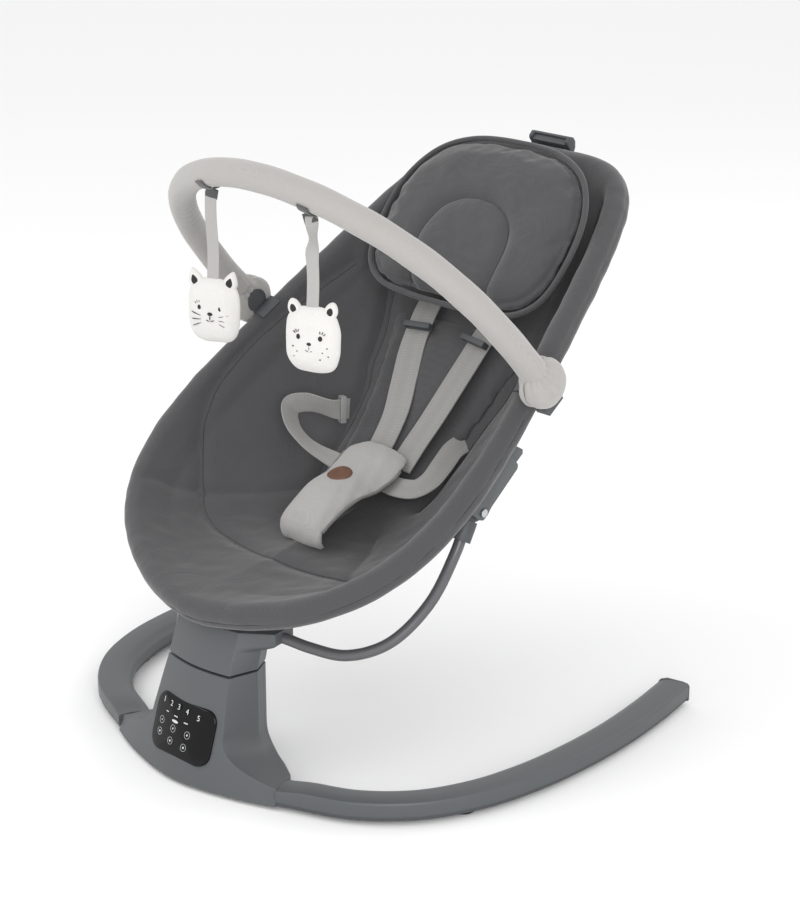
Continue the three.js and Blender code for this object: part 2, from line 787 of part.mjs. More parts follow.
function addSeatCover() {
  const outer = seat.sleeveRadius;
  const inner = seat.tubeRadius + 0.8;
  const degrees = THREE.MathUtils.degToRad;
  const rings = [
    ...[0.08, 0.3, 0.5, 0.68, 0.82, 0.92].map((s) => bowlRing(s, seat.padding, outer + 1)),
    sleeveRing(outer + 2, degrees(212)),
    ...[200, 165, 130, 90, 50, 10, -45].map((a) => sleeveRing(inner, degrees(a))),
    ...[-45, 0, 40, 80, 120, 160].map((a) => sleeveRing(outer, degrees(a))),
    ...[0.97, 0.9, 0.8, 0.66, 0.5, 0.3, 0.08].map((s) => bowlRing(s, 0, outer)),
  ];
  add('seat_cover', loft(rings), fabric);
}

function addRim() {
  const turns = 10;
  const turnOf = (i) => (2 * Math.PI * i) / turns;
  const rings = Array.from({ length: turns }, (_, i) => sleeveRing(seat.tubeRadius, turnOf(i)));
  add('rim_tube', loft(rings, null, true), paintedSteel);
}

// Soft pad lying on the bowl: a grid between two sides, thinning to its edges.
function surfacePad(start, end, halfWidthAt, liftAt, thicknessAt, steps, lanes) {
  const rings = [];
  for (let i = 0; i <= steps; i++) {
    const t = i / steps;
    const along = lerp(start, end, t);
    const half = halfWidthAt(t);
    const under = [];
    const over = [];
    for (let j = 0; j <= lanes; j++) {
      const side = 2 * j / lanes - 1;
      const ground = innerUp(along, half * side) + liftAt(t);
      under.push(seatPoint(along, half * side, ground));
      over.push(seatPoint(along, half * side * 0.97, ground + thicknessAt(t, side)));
    }
    rings.push([...under, ...over.reverse()]);
  }
  return loft(rings);
}

function addPads() {
  const thick = backPanel.thickness;
  add('back_panel', surfacePad(
    backPanel.start, backPanel.end,
    (t) => lerp(backPanel.startHalfWidth, backPanel.endHalfWidth, t),
    () => harness.lift,
    (t, side) => thick * (0.55 + 0.45 * Math.sqrt(1 - 0.98 * side * side)),
    12, 14,
  ), darkFabric);

  const rings = [];
  const lanes = 9;
  for (let k = 0; k <= lanes; k++) {
    const height = k / lanes;
    const bulge = 0.6 + 0.4 * Math.sqrt(1 - (2 * height - 1) ** 2);
    rings.push(pillowRing(bulge, height));
  }
  add('head_pillow', loft(rings), darkFabric);
}

// Loop of the pillow at a share of its thickness; it leans up onto the head end of the rim.
function pillowRing(scale, height) {
  const lowEnd = pillow.centre - pillow.halfLength;
  const ground = innerUp(lowEnd, 0) + backPanel.thickness + pillow.over;
  const slope = (pillow.top - ground) / (2 * pillow.halfLength);
  return Array.from({ length: 28 }, (_, i) => {
    const a = (2 * Math.PI * i) / 28;
    const along = pillow.centre + pillow.halfLength * scale * Math.cos(a);
    const wide = pillow.halfWidth * (1 + 0.05 * Math.cos(a));
    const x = wide * scale * Math.sign(Math.sin(a)) * Math.abs(Math.sin(a)) ** pillow.squareness;
    const curl = pillow.curl * (x / pillow.halfWidth) ** 2;
    return seatPoint(along, x, ground + slope * (along - lowEnd) + curl + pillow.thickness * height);
  });
}

// Plastic clip at the head end: a round-topped block with a shallow recess between two cheeks.
function addTopClip() {
  const inner = seat.length + seat.sleeveRadius + GAP;
  const { depth, halfWidth, cheek, recess } = topClip;
  const outline = [[inner, -6], [inner + depth - 4, 0], [inner + depth, 6], [inner + depth, 12],
    [inner + depth - 4, 16], [inner + 2, 15], [inner, 12]];
  const hollow = [[inner - 1, 16 - recess], [inner + depth - 6, 17 - recess],
    [inner + depth - 6, 20], [inner - 1, 20]];
  const whole = solid(sidePlate(outline, -halfWidth, halfWidth));
  const cut = solid(sidePlate(hollow, cheek - halfWidth, halfWidth - cheek));
  add('top_clip', whole.subtract(cut), darkPlastic);
}

// ---------------------------------------------------------------- side brackets

function addBrackets() {
  const half = bracket.thickness / 2;
  const low = -bracket.drop;
  const [pivotAlong, pivotUp] = bracket.pivot;
  const shoulder = -(seat.sleeveRadius + 2);
  const outline = [
    [bracket.start, shoulder], [bracket.start + 4, shoulder - 10],
    [pivotAlong - 9, pivotUp - 2], [pivotAlong - 5, low - 1], [pivotAlong + 3, low - 1.5],
    [pivotAlong + 12, low + 1], [bracket.end - 3, low + 4], [bracket.end, low + 7], [bracket.end, shoulder],
  ];
  const tongueTop = -(seat.tubeRadius + GAP + 0.2);
  const tongue = [[bracket.start + 14, shoulder - 1], [bracket.end - 4, shoulder - 1],
    [bracket.end - 4, tongueTop], [bracket.start + 14, tongueTop]];
  const pocketEnd = pivotAlong + 24;
  const pocket = [[bracket.start - 30, -70], [pocketEnd, -70], [pocketEnd, shoulder + 8],
    [bracket.start - 30, shoulder + 8]];
  const slackHalf = support.lugThickness / 2 + 0.4;
  let body = solid(sidePlate(outline, bracketX - half, bracketX + half))
    .add(solid(sidePlate(tongue, bracketX - bracket.tongue / 2, bracketX + bracket.tongue / 2)))
    .subtract(solid(sidePlate(pocket, bracketX - slackHalf, bracketX + slackHalf)));
  for (const [along, up] of [bracket.pivot, bracket.stop]) {
    body = body.subtract(crossPin(along, up, bracket.rivetRadius + GAP, 40));
  }
  const stemTop = slider.low + slider.stemHeight;
  const pocketFrom = bracket.end - slider.stem - 2;
  const pocketHalf = slider.stemHalf + slider.slack;
  const stemPocket = [[pocketFrom, slider.low - slider.slack], [bracket.end + 2, slider.low - slider.slack],
    [bracket.end + 2, stemTop + slider.slack], [pocketFrom, stemTop + slider.slack]];
  body = body.subtract(solid(sidePlate(stemPocket, bracketX - pocketHalf, bracketX + pocketHalf)));
  addPair('side_bracket', '', body, plastic);

  const stem = [[bracket.end - slider.stem, slider.low], [bracket.end + 3, slider.low],
    [bracket.end + 3, stemTop], [bracket.end - slider.stem, stemTop]];
  const knob = [[bracket.end + GAP, slider.low - 4], [bracket.end + 13, slider.low - 4],
    [bracket.end + 16, slider.low], [bracket.end + 11, shoulder - 3], [bracket.end + GAP, shoulder - 1]];
  const release = solid(sidePlate(knob, bracketX - half + 1, bracketX + half - 1))
    .add(solid(sidePlate(stem, bracketX - slider.stemHalf, bracketX + slider.stemHalf)));
  addPair('recline_slider', '', release, plastic);

  for (const [name, at] of [['pivot_rivet', bracket.pivot], ['stop_rivet', bracket.stop]]) {
    const shank = crossPin(...at, bracket.rivetRadius, half + GAP);
    const headOut = solid(sidePlate(discPoints(...at, 4.6), bracketX + half + GAP, bracketX + half + 2.3));
    const headIn = solid(sidePlate(discPoints(...at, 4.6), bracketX - half - 1.6, bracketX - half - GAP));
    addPair(name, '', shank.add(headOut).add(headIn), steel);
  }
}

// ---------------------------------------------------------------- harness

// Centre line of a strap through [along, x, up] points, and its frame at a share of its length.
function strapCurve(points) {
  return new THREE.CatmullRomCurve3(points.map((p) => seatPoint(...p)));
}

// Leans turn the webbing's width from sideways (0) to upright (a quarter turn).
function strapFrame(curve, leans, share) {
  const up = seatPoint(0, 0, 1).sub(seatPoint(0, 0, 0));
  const along = curve.getTangentAt(share);
  const place = share * (leans.length - 1);
  const k = Math.min(Math.floor(place), leans.length - 2);
  const lean = lerp(leans[k], leans[k + 1], place - k);
  const wide = along.clone().cross(up).normalize().multiplyScalar(Math.cos(lean));
  wide.addScaledVector(up, Math.sin(lean));
  wide.addScaledVector(along, -wide.dot(along)).normalize();
  return { centre: curve.getPointAt(share), along, wide, thin: wide.clone().cross(along).normalize() };
}

function strap(points, width, leans) {
  const curve = strapCurve(points);
  const steps = 3 * (points.length - 1);
  const rings = Array.from({ length: steps + 1 }, (_, i) => {
    const { centre, wide, thin } = strapFrame(curve, leans, i / steps);
    return [[-1, -1], [1, -1], [1, 1], [-1, 1]].map(([a, b]) => centre.clone()
      .addScaledVector(wide, a * width / 2)
      .addScaledVector(thin, b * harness.thickness / 2));
  });
  return loft(rings);
}

// Flat frame that the strap passes through.
function sliderLoop(points, leans, share, width) {
  const { centre, along, wide, thin } = strapFrame(strapCurve(points), leans, share);
  const outer = new THREE.BoxGeometry(width + 7, 7, harness.thickness + 8);
  const hole = new THREE.BoxGeometry(width + 3, 9, harness.thickness + 4.6);
  const place = new THREE.Matrix4().makeBasis(wide, along, thin).setPosition(centre);
  return solid(outer.applyMatrix4(place)).subtract(solid(hole.applyMatrix4(place)));
}

function onPanel(along, x, extra = 0) {
  return [along, x, innerUp(along, x) + backPanel.thickness + 3 * harness.lift + extra];
}

const buckleLow = innerUp(buckle.along, 0) + backPanel.thickness + 3 * harness.lift;
const buckleTop = buckleLow + buckle.thickness;

function addHarness() {
  const top = harness.shoulderAlong;
  const x = harness.shoulderX;
  const shoulder = [
    onPanel(top - 22, x - 1, 7), onPanel(top - 55, x - 5, 7), onPanel(top - 100, x - 11, 6),
    onPanel(top - 140, x - 17, 6), [buckle.along + buckle.halfLength + 4, x - 22, buckleLow + 6],
  ];
  addPair('shoulder_strap', '', strap(shoulder, harness.webbing, [0, 0]), webbing);
  addPair('shoulder_slider', '', sliderLoop(shoulder, [0, 0], 0.08, harness.webbing), darkPlastic);

  const hip = buckle.halfWidth + 4;
  const left = [
    [330, -78, -74], [318, -86, -64], [308, -116, -50], [296, -132, -48], [276, -116, -52],
    [262, -82, -60], [buckle.along - 8, -hip, buckleLow + 6],
  ];
  const leans = [1.3, 1.3, 1.2, 1.1, 0.9, 0.5, 0.1];
  add('waist_strap_left', strap(left, harness.waistWebbing, leans), webbing);
  add('waist_slider_left', sliderLoop(left, leans, 0.045, harness.waistWebbing), darkPlastic);
  const right = [
    [300, 122, innerUp(300, 122) + 12], [284, 110, -52], [268, 86, -60], [260, 58, -68],
    [buckle.along - 8, hip, buckleLow + 6],
  ];
  add('waist_strap_right', strap(right, harness.waistWebbing, [-0.9, -0.9, -0.5, -0.2, -0.1]), webbing);

  const half = buckle.halfLength;
  const body = solid(sidePlate([
    [buckle.along - half, buckleLow], [buckle.along + half, buckleLow],
    [buckle.along + half, buckleTop - 2], [buckle.along + half - 4, buckleTop],
    [buckle.along - half + 4, buckleTop], [buckle.along - half, buckleTop - 2],
  ], -buckle.halfWidth, buckle.halfWidth));
  const well = solid(seatDisc(buckle.along, 0, buckleTop - 6, buckleTop + 5, buckle.button + GAP));
  add('buckle_body', body.subtract(well), darkPlastic);
  const press = seatDisc(buckle.along, 0, buckleTop - 3.5, buckleTop + 0.5, buckle.button);
  add('buckle_button', press, plastic);

  const over = buckleTop + 3;
  const badgeFace = (lift) => seatPoint(badge.along + 0.24 * lift, 0, over + badge.above + 0.97 * lift);
  add('crotch_badge', rod(badgeFace(0), badgeFace(badge.thickness), badge.radius), leather);
  const line = [
    [137, innerUp(137, 0) + 4], [141, -52], [158, -40], [188, -42], [222, over + 12], [250, over + 5],
    [buckle.along + 26, over + 2],
  ];
  add('crotch_pad', padAlong(line, [38, 38, 38, 39, 42, 36, 26], [4, 7, 8, 8, 8, 5, 3]), webbing);
}

// Disc standing on the seat's rim-plane direction.
function seatDisc(along, x, fromUp, toUp, radius) {
  return rod(seatPoint(along, x, fromUp), seatPoint(along, x, toUp), radius);
}

// Padded tongue along a side-view line, with half widths and half thicknesses along it.
function padAlong(line, halfWidths, halfHeights) {
  const rings = line.map(([along, up], i) => {
    const before = line[Math.max(i - 1, 0)];
    const after = line[Math.min(i + 1, line.length - 1)];
    const run = Math.hypot(after[0] - before[0], after[1] - before[1]);
    const normal = [-(after[1] - before[1]) / run, (after[0] - before[0]) / run];
    return circleOutline(1, 12).map((c) => {
      const x = halfWidths[i] * Math.sign(c.x) * Math.abs(c.x) ** 0.6;
      const lift = halfHeights[i] * c.y;
      return seatPoint(along + normal[0] * lift, x, up + normal[1] * lift);
    });
  });
  return loft(rings);
}

// ---------------------------------------------------------------- toy bar

const barPivot = seatPoint(bar.along, 0, bar.above);
const barHalfSpan = rimPoint(rimAngleAt(bar.along)).x + bar.outboard;

function barPoint(angle) {
  const c = Math.cos(angle);
  const rise = bar.height * Math.abs(Math.sin(angle)) ** bar.topPower;
  const x = barHalfSpan * Math.sign(c) * Math.abs(c) ** bar.sidePower;
  return vec(x, barPivot.y - rise * Math.sin(bar.tilt), barPivot.z + rise * Math.cos(bar.tilt));
}

const barCurve = new THREE.CatmullRomCurve3(
  Array.from({ length: 33 }, (_, i) => barPoint((Math.PI * i) / 32)),
);

// Part of a curve between two distances from its ends.
function trimmed(curve, margin, points) {
  const share = margin / curve.getLength();
  return new THREE.CatmullRomCurve3(
    Array.from({ length: points }, (_, i) => curve.getPointAt(lerp(share, 1 - share, i / (points - 1)))),
  );
}

function addToyBar() {
  const core = trimmed(barCurve, bar.hubRadius - 12, 33);
  add('toy_bar_core', tube(core, bar.coreRadius, 28, 6), steel);
  const cover = trimmed(barCurve, bar.hubRadius + 1, 33);
  const sleeve = solid(tube(cover, bar.sleeveRadius, 32, 10));
  const bore = solid(tube(trimmed(barCurve, bar.hubRadius - 3, 33), bar.coreRadius + 1.2, 32, 6));
  add('toy_bar_sleeve', sleeve.subtract(bore), paleFabric);

  const hubIn = barHalfSpan - bar.hubWidth / 2 + 2.5;
  const hubOut = hubIn + bar.hubWidth;
  const radius = bar.hubRadius;
  const dome = [[hubIn, radius - 2], [hubIn + 2, radius], [hubOut - 8, radius], [hubOut - 3, radius - 5],
    [hubOut, radius - 14]];
  const rings = dome.map(([x, r]) => circleOutline(r, 24)
    .map((c) => vec(x, barPivot.y + c.x, barPivot.z + c.y)));
  const at = (x) => vec(x, barPivot.y, barPivot.z);
  const hub = solid(loft(rings))
    .subtract(solid(rod(at(hubIn - 1), at(hubIn + bar.hubWidth / 2), bar.pinRadius + GAP)))
    .subtract(solid(tube(trimmed(barCurve, bar.hubRadius - 13, 33), bar.coreRadius + 0.8, 48, 8)));
  addPair('bar_hub', '', hub, paleFabric);

  const reach = bar.hubRadius - 13;
  const ringInner = seat.sleeveRadius + 2 * GAP;
  const collar = solid(clipCollar(ringInner, ringInner + bar.clipWall));
  const arm = solid(rod(at(hubIn - 9), at(hubIn - GAP), reach));
  const keepOut = solid(sleeveStretch(ringInner + 0.5));
  const pin = solid(rod(at(hubIn - 2), at(hubIn + bar.hubWidth / 2 - 1), bar.pinRadius));
  const rimX = rimPoint(rimAngleAt(bar.along)).x;
  const foot = solid(sidePlate([
    [bar.along - 13, -18], [bar.along + 13, -18], [bar.along + 15, bar.above - radius - 1],
    [bar.along - 15, bar.above - radius - 1],
  ], rimX + 10, rimX + 28));
  const clip = arm.add(foot).subtract(keepOut).add(collar).add(pin);
  addPair('bar_clip', '', clip, darkPlastic);
}

// Collar section round the rim sleeve, open below, swept a short way along it.
function clipCollar(inner, outer) {
  const turns = Array.from({ length: 10 }, (_, i) => THREE.MathUtils.degToRad(lerp(-50, 125, i / 9)));
  const section = [...turns.map((a) => [outer, a]), ...turns.reverse().map((a) => [inner, a])];
  const rings = [-14, 0, 14].map((shift) => {
    const angle = rimAngleAt(bar.along + shift);
    return section.map(([r, a]) => sleevePoint(angle, r, a));
  });
  return loft(rings, section.map(([r, a]) => new THREE.Vector2(r * Math.cos(a), r * Math.sin(a))));
}

// Solid stretch of the rim sleeve, for clearing it out of the clip.
function sleeveStretch(radius) {
  const rings = [-24, -12, 0, 12, 24].map((shift) => {
    const angle = rimAngleAt(bar.along + shift);
    return Array.from({ length: 24 }, (_, i) => sleevePoint(angle, radius, (2 * Math.PI * i) / 24));
  });
  return loft(rings);
}

// ---------------------------------------------------------------- hanging toys

function barShareAt(x) {
  let low = 0;
  let high = 0.5;
  for (let i = 0; i < 40; i++) {
    const mid = (low + high) / 2;
    if (barCurve.getPointAt(mid).x > x) low = mid;
    else high = mid;
  }
  return low;
}

// Crowned slab with a squarish outline, standing upright and centred on the origin.
function toyFace() {
  const { width, height, thickness } = toys;
  return loft([-0.5, -0.32, 0, 0.32, 0.5].map((depth) => {
    const shrink = Math.abs(depth) > 0.4 ? 0.72 : 1;
    return circleOutline(1, 20).map((c) => vec(
      width / 2 * shrink * Math.sign(c.x) * Math.abs(c.x) ** 0.7,
      depth * thickness,
      height / 2 * shrink * Math.sign(c.y) * Math.abs(c.y) ** 0.7,
    ));
  }));
}

function addToys() {
  const share = barShareAt(toys.x);
  const hang = barCurve.getPointAt(share);
  const tangent = barCurve.getTangentAt(share);
  const inner = bar.sleeveRadius + toys.loopSlack;
  const half = toys.loopWidth / 2;
  const onBar = (reach) => hang.clone().addScaledVector(tangent, reach);
  const loop = solid(rod(onBar(-half), onBar(half), inner + toys.loopWall, 20))
    .subtract(solid(rod(onBar(-half - 3), onBar(half + 3), inner, 20)));
  const faceTop = hang.z - inner - toys.ribbon;
  const ribbon = solid(block(
    [hang.x - half, hang.y - toys.ribbonHalf, faceTop - 4],
    [hang.x + half, hang.y + toys.ribbonHalf, hang.z - inner - toys.loopWall / 2],
  ));
  const hanger = geometryFrom(loop.add(ribbon));
  for (const [name, side, strip] of [['toy_bear', 1, hanger], ['toy_cat', -1, mirrored(hanger)]]) {
    const face = toyFace();
    face.rotateZ(toys.twist);
    face.translate(side * hang.x, hang.y, faceTop - toys.height / 2);
    add(name, solid(strip).add(solid(face)), plush);
  }
}

addTower();
addTowerInsides();
addLegs();
addTurret();
addSupports();
addRim();
addSeatCover();
addPads();
addTopClip();
addBrackets();
addHarness();
addToyBar();
addToys();

export default swing;
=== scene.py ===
# Baby swing: fabric bucket seat on two bent tubes over a swivelling tower, with a harness,
# a head pillow and a soft toy bar. Metres, +Z up; the seat's patterns are cut in millimetres.

import json
import math

import bpy
import numpy as np
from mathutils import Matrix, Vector
from mathutils.bvhtree import BVHTree
from mathutils.kdtree import KDTree

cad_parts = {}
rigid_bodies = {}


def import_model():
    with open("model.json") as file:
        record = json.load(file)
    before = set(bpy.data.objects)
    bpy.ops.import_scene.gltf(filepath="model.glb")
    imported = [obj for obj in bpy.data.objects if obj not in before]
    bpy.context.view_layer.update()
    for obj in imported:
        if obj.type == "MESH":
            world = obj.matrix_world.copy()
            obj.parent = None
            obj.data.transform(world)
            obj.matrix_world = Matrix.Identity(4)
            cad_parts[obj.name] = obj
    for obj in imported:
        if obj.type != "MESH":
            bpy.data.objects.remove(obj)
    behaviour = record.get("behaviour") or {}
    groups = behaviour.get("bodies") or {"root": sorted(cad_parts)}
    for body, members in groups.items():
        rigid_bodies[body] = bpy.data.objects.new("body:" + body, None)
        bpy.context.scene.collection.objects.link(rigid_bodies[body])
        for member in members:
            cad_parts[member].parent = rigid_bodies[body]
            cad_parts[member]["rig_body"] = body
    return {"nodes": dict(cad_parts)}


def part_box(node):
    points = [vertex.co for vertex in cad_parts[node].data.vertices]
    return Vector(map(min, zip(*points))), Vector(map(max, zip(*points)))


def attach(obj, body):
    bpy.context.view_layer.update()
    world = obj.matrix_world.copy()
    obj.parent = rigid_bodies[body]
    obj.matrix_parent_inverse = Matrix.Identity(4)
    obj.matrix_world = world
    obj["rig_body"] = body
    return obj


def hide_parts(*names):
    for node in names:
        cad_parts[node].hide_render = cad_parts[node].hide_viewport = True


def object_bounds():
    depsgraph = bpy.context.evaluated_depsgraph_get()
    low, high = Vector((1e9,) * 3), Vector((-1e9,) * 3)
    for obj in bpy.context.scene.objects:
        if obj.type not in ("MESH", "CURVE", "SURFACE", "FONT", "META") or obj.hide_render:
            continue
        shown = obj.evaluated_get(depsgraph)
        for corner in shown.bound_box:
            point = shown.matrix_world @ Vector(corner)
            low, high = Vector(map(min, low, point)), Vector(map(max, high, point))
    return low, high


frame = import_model()
cad_box = [list(corner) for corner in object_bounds()]
middle = (Vector(cad_box[0]) + Vector(cad_box[1])) / 2

# ------------------------------------------------------------------ camera
# Looks down at the swing from its front right, with a long lens.

azimuth, elevation = math.radians(44.34), math.radians(19.92)
aim = middle + Vector((0.0225, 0.024, -0.031))
toward = Vector((
    math.sin(azimuth) * math.cos(elevation),
    -math.cos(azimuth) * math.cos(elevation),
    math.sin(elevation),
))
lens = bpy.data.cameras.new("camera")
lens.lens = 93.73
lens.sensor_width = 36
camera = bpy.data.objects.new("camera", lens)
camera.location = aim + toward * 2.678
camera.rotation_euler = (-toward).to_track_quat("-Z", "Y").to_euler()
bpy.context.scene.collection.objects.link(camera)
bpy.context.scene.camera = camera
bpy.context.scene.view_settings.view_transform = "Standard"

# ------------------------------------------------------------------ studio
# A pale seamless floor under a white sky, one large soft box ahead and a smaller one behind.


def linear(code):
    """Blender's linear colour for an sRGB hex value."""
    parts = [int(code[i:i + 2], 16) / 255 for i in (0, 2, 4)]
    return tuple(p / 12.92 if p <= 0.04045 else ((p + 0.055) / 1.055) ** 2.4 for p in parts) + (1.0,)


def node(material, kind, sockets=None, **settings):
    """Adds a node; sockets take constants or other nodes' outputs, settings are its own options."""
    made = material.node_tree.nodes.new(kind)
    for key, value in settings.items():
        setattr(made, key, value)
    for key, value in (sockets or {}).items():
        if isinstance(value, bpy.types.NodeSocket):
            material.node_tree.links.new(value, made.inputs[key])
        else:
            made.inputs[key].default_value = value
    return made


def blank(name):
    """A new material with no nodes."""
    material = bpy.data.materials.new(name)
    material.use_nodes = True
    material.node_tree.nodes.clear()
    return material


def coated(material, **sockets):
    """Ends a material in one shader; an underscore in a socket's name stands for a space."""
    named = {key.replace("_", " "): value for key, value in sockets.items()}
    shader = node(material, "ShaderNodeBsdfPrincipled", named)
    node(material, "ShaderNodeOutputMaterial", {"Surface": shader.outputs[0]})
    return material


def wear(piece, material):
    """Gives a piece one material."""
    piece.data.materials.clear()
    piece.data.materials.append(material)
    return piece


bpy.ops.object.select_all(action="DESELECT")
bpy.ops.mesh.primitive_grid_add(x_subdivisions=8, y_subdivisions=8, size=30, location=(0, 0, -0.0005))
floor = bpy.context.object
floor.name = "studio_floor"
paper = blank("white seamless paper")
grain = node(paper, "ShaderNodeTexNoise", {"Scale": 3.0})
tone = node(paper, "ShaderNodeMix", {0: grain.outputs[0], 6: linear("f4f4f4"), 7: linear("fafafa")},
            data_type="RGBA")
wear(floor, coated(paper, Base_Color=tone.outputs[2], Roughness=0.95))

world = bpy.data.worlds.new("white sky")
world.use_nodes = True
world.node_tree.nodes["Background"].inputs[0].default_value = (1, 1, 1, 1)
world.node_tree.nodes["Background"].inputs[1].default_value = 0.97
bpy.context.scene.world = world

for name, place, size, power in [
    ("soft_box_left", (-1.3, -1.6, 2.2), 1.4, 15),
    ("soft_box_right", (1.9, -1.5, 1.1), 1.2, 25),
    ("soft_box_behind", (0.3, 2.2, 2.0), 1.4, 8),
]:
    light = bpy.data.lights.new(name, "AREA")
    light.size = size
    light.energy = power
    lamp = bpy.data.objects.new(name, light)
    lamp.location = place
    lamp.rotation_euler = (Vector(place) - middle).to_track_quat("Z", "Y").to_euler()
    bpy.context.scene.collection.objects.link(lamp)

# ------------------------------------------------------------------ moulded plastic pieces
# Injection-moulded ABS with a fine spark-eroded texture: satin, with soft highlights along
# its edges. Small brackets, clips and sliders keep their shape and get rounded edges.


def moulded(name, colour, roughness, texture_mm=0.7):
    """Moulded or coated surface, slightly cloudy, with fine pits at the texture's spacing."""
    plastic = blank(name)
    place = node(plastic, "ShaderNodeTexCoord").outputs["Object"]
    cloud = node(plastic, "ShaderNodeTexNoise", {"Vector": place, "Scale": 9.0, "Detail": 3.0})
    pits = node(plastic, "ShaderNodeTexNoise",
                {"Vector": place, "Scale": 1 / (texture_mm * 0.001), "Detail": 1.0})
    dark = tuple(c * 0.93 for c in linear(colour)[:3]) + (1.0,)
    light = tuple(c * 1.07 for c in linear(colour)[:3]) + (1.0,)
    tint = node(plastic, "ShaderNodeMix", {0: cloud.outputs[0], 6: dark, 7: light}, data_type="RGBA")
    sheen = node(plastic, "ShaderNodeMapRange",
                 {"Value": cloud.outputs[0], "To Min": roughness - 0.05, "To Max": roughness + 0.05})
    bumps = node(plastic, "ShaderNodeBump", {"Height": pits.outputs[0], "Strength": 0.12, "Distance": 0.0003})
    return coated(plastic, Base_Color=tint.outputs[2], Roughness=sheen.outputs[0],
                  Normal=bumps.outputs[0], IOR=1.53)


grey_abs = moulded("satin slate grey abs", "4e5153", 0.44)
dark_abs = moulded("matt dark grey abs", "434548", 0.52)
rubber = moulded("black rubber", "242526", 0.8, texture_mm=1.2)


def alone(*chosen):
    """Selects just these objects, the first one active."""
    bpy.ops.object.select_all(action="DESELECT")
    for each in chosen:
        each.select_set(True)
    bpy.context.view_layer.objects.active = chosen[0]


def settle(piece, *modifiers):
    """Applies modifiers given as (kind, settings) one after another."""
    alone(piece)
    for kind, settings in modifiers:
        added = piece.modifiers.new(kind.lower(), kind)
        for key, value in settings.items():
            setattr(added, key, value)
        bpy.ops.object.modifier_apply(modifier=added.name)
    return piece


def refined(cad_name, name, bevel, material):
    """A copy of a CAD node with its flat faces rejoined and its edges rounded."""
    source = frame["nodes"][cad_name]
    piece = bpy.data.objects.new(name, source.data.copy())
    bpy.context.scene.collection.objects.link(piece)
    alone(piece)
    bpy.ops.object.mode_set(mode="EDIT")
    bpy.ops.mesh.select_all(action="SELECT")
    bpy.ops.mesh.remove_doubles(threshold=2e-5)
    bpy.ops.mesh.dissolve_limited(angle_limit=math.radians(2))
    bpy.ops.object.mode_set(mode="OBJECT")
    settle(piece, ("BEVEL", {"width": bevel, "segments": 2, "limit_method": "ANGLE",
                             "angle_limit": math.radians(32), "harden_normals": False}))
    alone(piece)
    bpy.ops.object.shade_smooth_by_angle(angle=math.radians(40))
    wear(piece, material)
    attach(piece, source["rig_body"])
    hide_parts(cad_name)
    return piece


for side in ("left", "right"):
    refined(f"side_bracket_{side}", f"bracket_{side}", 0.0009, grey_abs)
    refined(f"recline_slider_{side}", f"recline_knob_{side}", 0.0009, grey_abs)
    refined(f"tube_socket_{side}", f"socket_{side}", 0.0008, dark_abs)
    refined(f"bar_clip_{side}", f"toy_bar_clip_{side}", 0.0007, dark_abs)
    refined(f"leg_{side}_end_cap", f"leg_tip_{side}", 0.0016, grey_abs)
    for end in ("front", "rear"):
        refined(f"foot_{side}_{end}", f"rubber_foot_{side}_{end}", 0.0009, rubber)
refined("top_clip", "head_clip", 0.0012, dark_abs)
refined("buckle_body", "buckle_housing", 0.0016, dark_abs)
refined("buckle_button", "buckle_press_button", 0.0008, grey_abs)

# ------------------------------------------------------------------ steel pieces
# Bright zinc-plated rivets, bearings and shaft, the drive magnet arm and the toy bar's core.

bright = blank("zinc plated steel")
where = node(bright, "ShaderNodeTexCoord").outputs["Object"]
swirl = node(bright, "ShaderNodeTexNoise", {"Vector": where, "Scale": 700.0, "Detail": 2.0})
shine = node(bright, "ShaderNodeMapRange", {"Value": swirl.outputs[0], "To Min": 0.18, "To Max": 0.34})
tint = node(bright, "ShaderNodeMix", {0: swirl.outputs[0], 6: linear("b2b5b8"), 7: linear("d2d4d6")},
            data_type="RGBA")
coated(bright, Base_Color=tint.outputs[2], Roughness=shine.outputs[0], Metallic=1.0)

for side in ("left", "right"):
    refined(f"pivot_rivet_{side}", f"lower_rivet_{side}", 0.0009, bright)
    refined(f"stop_rivet_{side}", f"upper_rivet_{side}", 0.0009, bright)
for name in ("lower_bearing", "upper_bearing", "pivot_shaft", "drive_magnet_arm", "toy_bar_core"):
    wear(frame["nodes"][name], bright)

# ------------------------------------------------------------------ support tubes
# Steel tube bent round the seat, coated in dark grey powder paint with a faint orange peel.


def spline(points, count, closed=False):
    """Evenly spaced points on a smooth curve through the given ones."""
    p = np.array(points, float)
    p = np.vstack([p[-1:], p, p[:2]] if closed else [2 * p[:1] - p[1:2], p, 2 * p[-1:] - p[-2:-1]])
    gap = np.linalg.norm(np.diff(p, axis=0), axis=1) ** 0.5
    t = np.linspace(0, 1, 40, endpoint=False)[:, None]
    fine = []
    for i in range(1, len(p) - 2):
        before, here, after = gap[i - 1], gap[i], gap[i + 1]
        out = (p[i] - p[i - 1]) / before - (p[i + 1] - p[i - 1]) / (before + here) + (p[i + 1] - p[i]) / here
        into = (p[i + 1] - p[i]) / here - (p[i + 2] - p[i]) / (here + after) + (p[i + 2] - p[i + 1]) / after
        fine.append(p[i] * (2 * t**3 - 3 * t**2 + 1) + out * here * (t**3 - 2 * t**2 + t)
                    + p[i + 1] * (3 * t**2 - 2 * t**3) + into * here * (t**3 - t**2))
    fine = np.vstack(fine + [p[-2:-1]])
    run = np.r_[0, np.cumsum(np.linalg.norm(np.diff(fine, axis=0), axis=1))]
    even = np.linspace(0, run[-1], count)
    return np.column_stack([np.interp(even, run, fine[:, k]) for k in range(p.shape[1])])


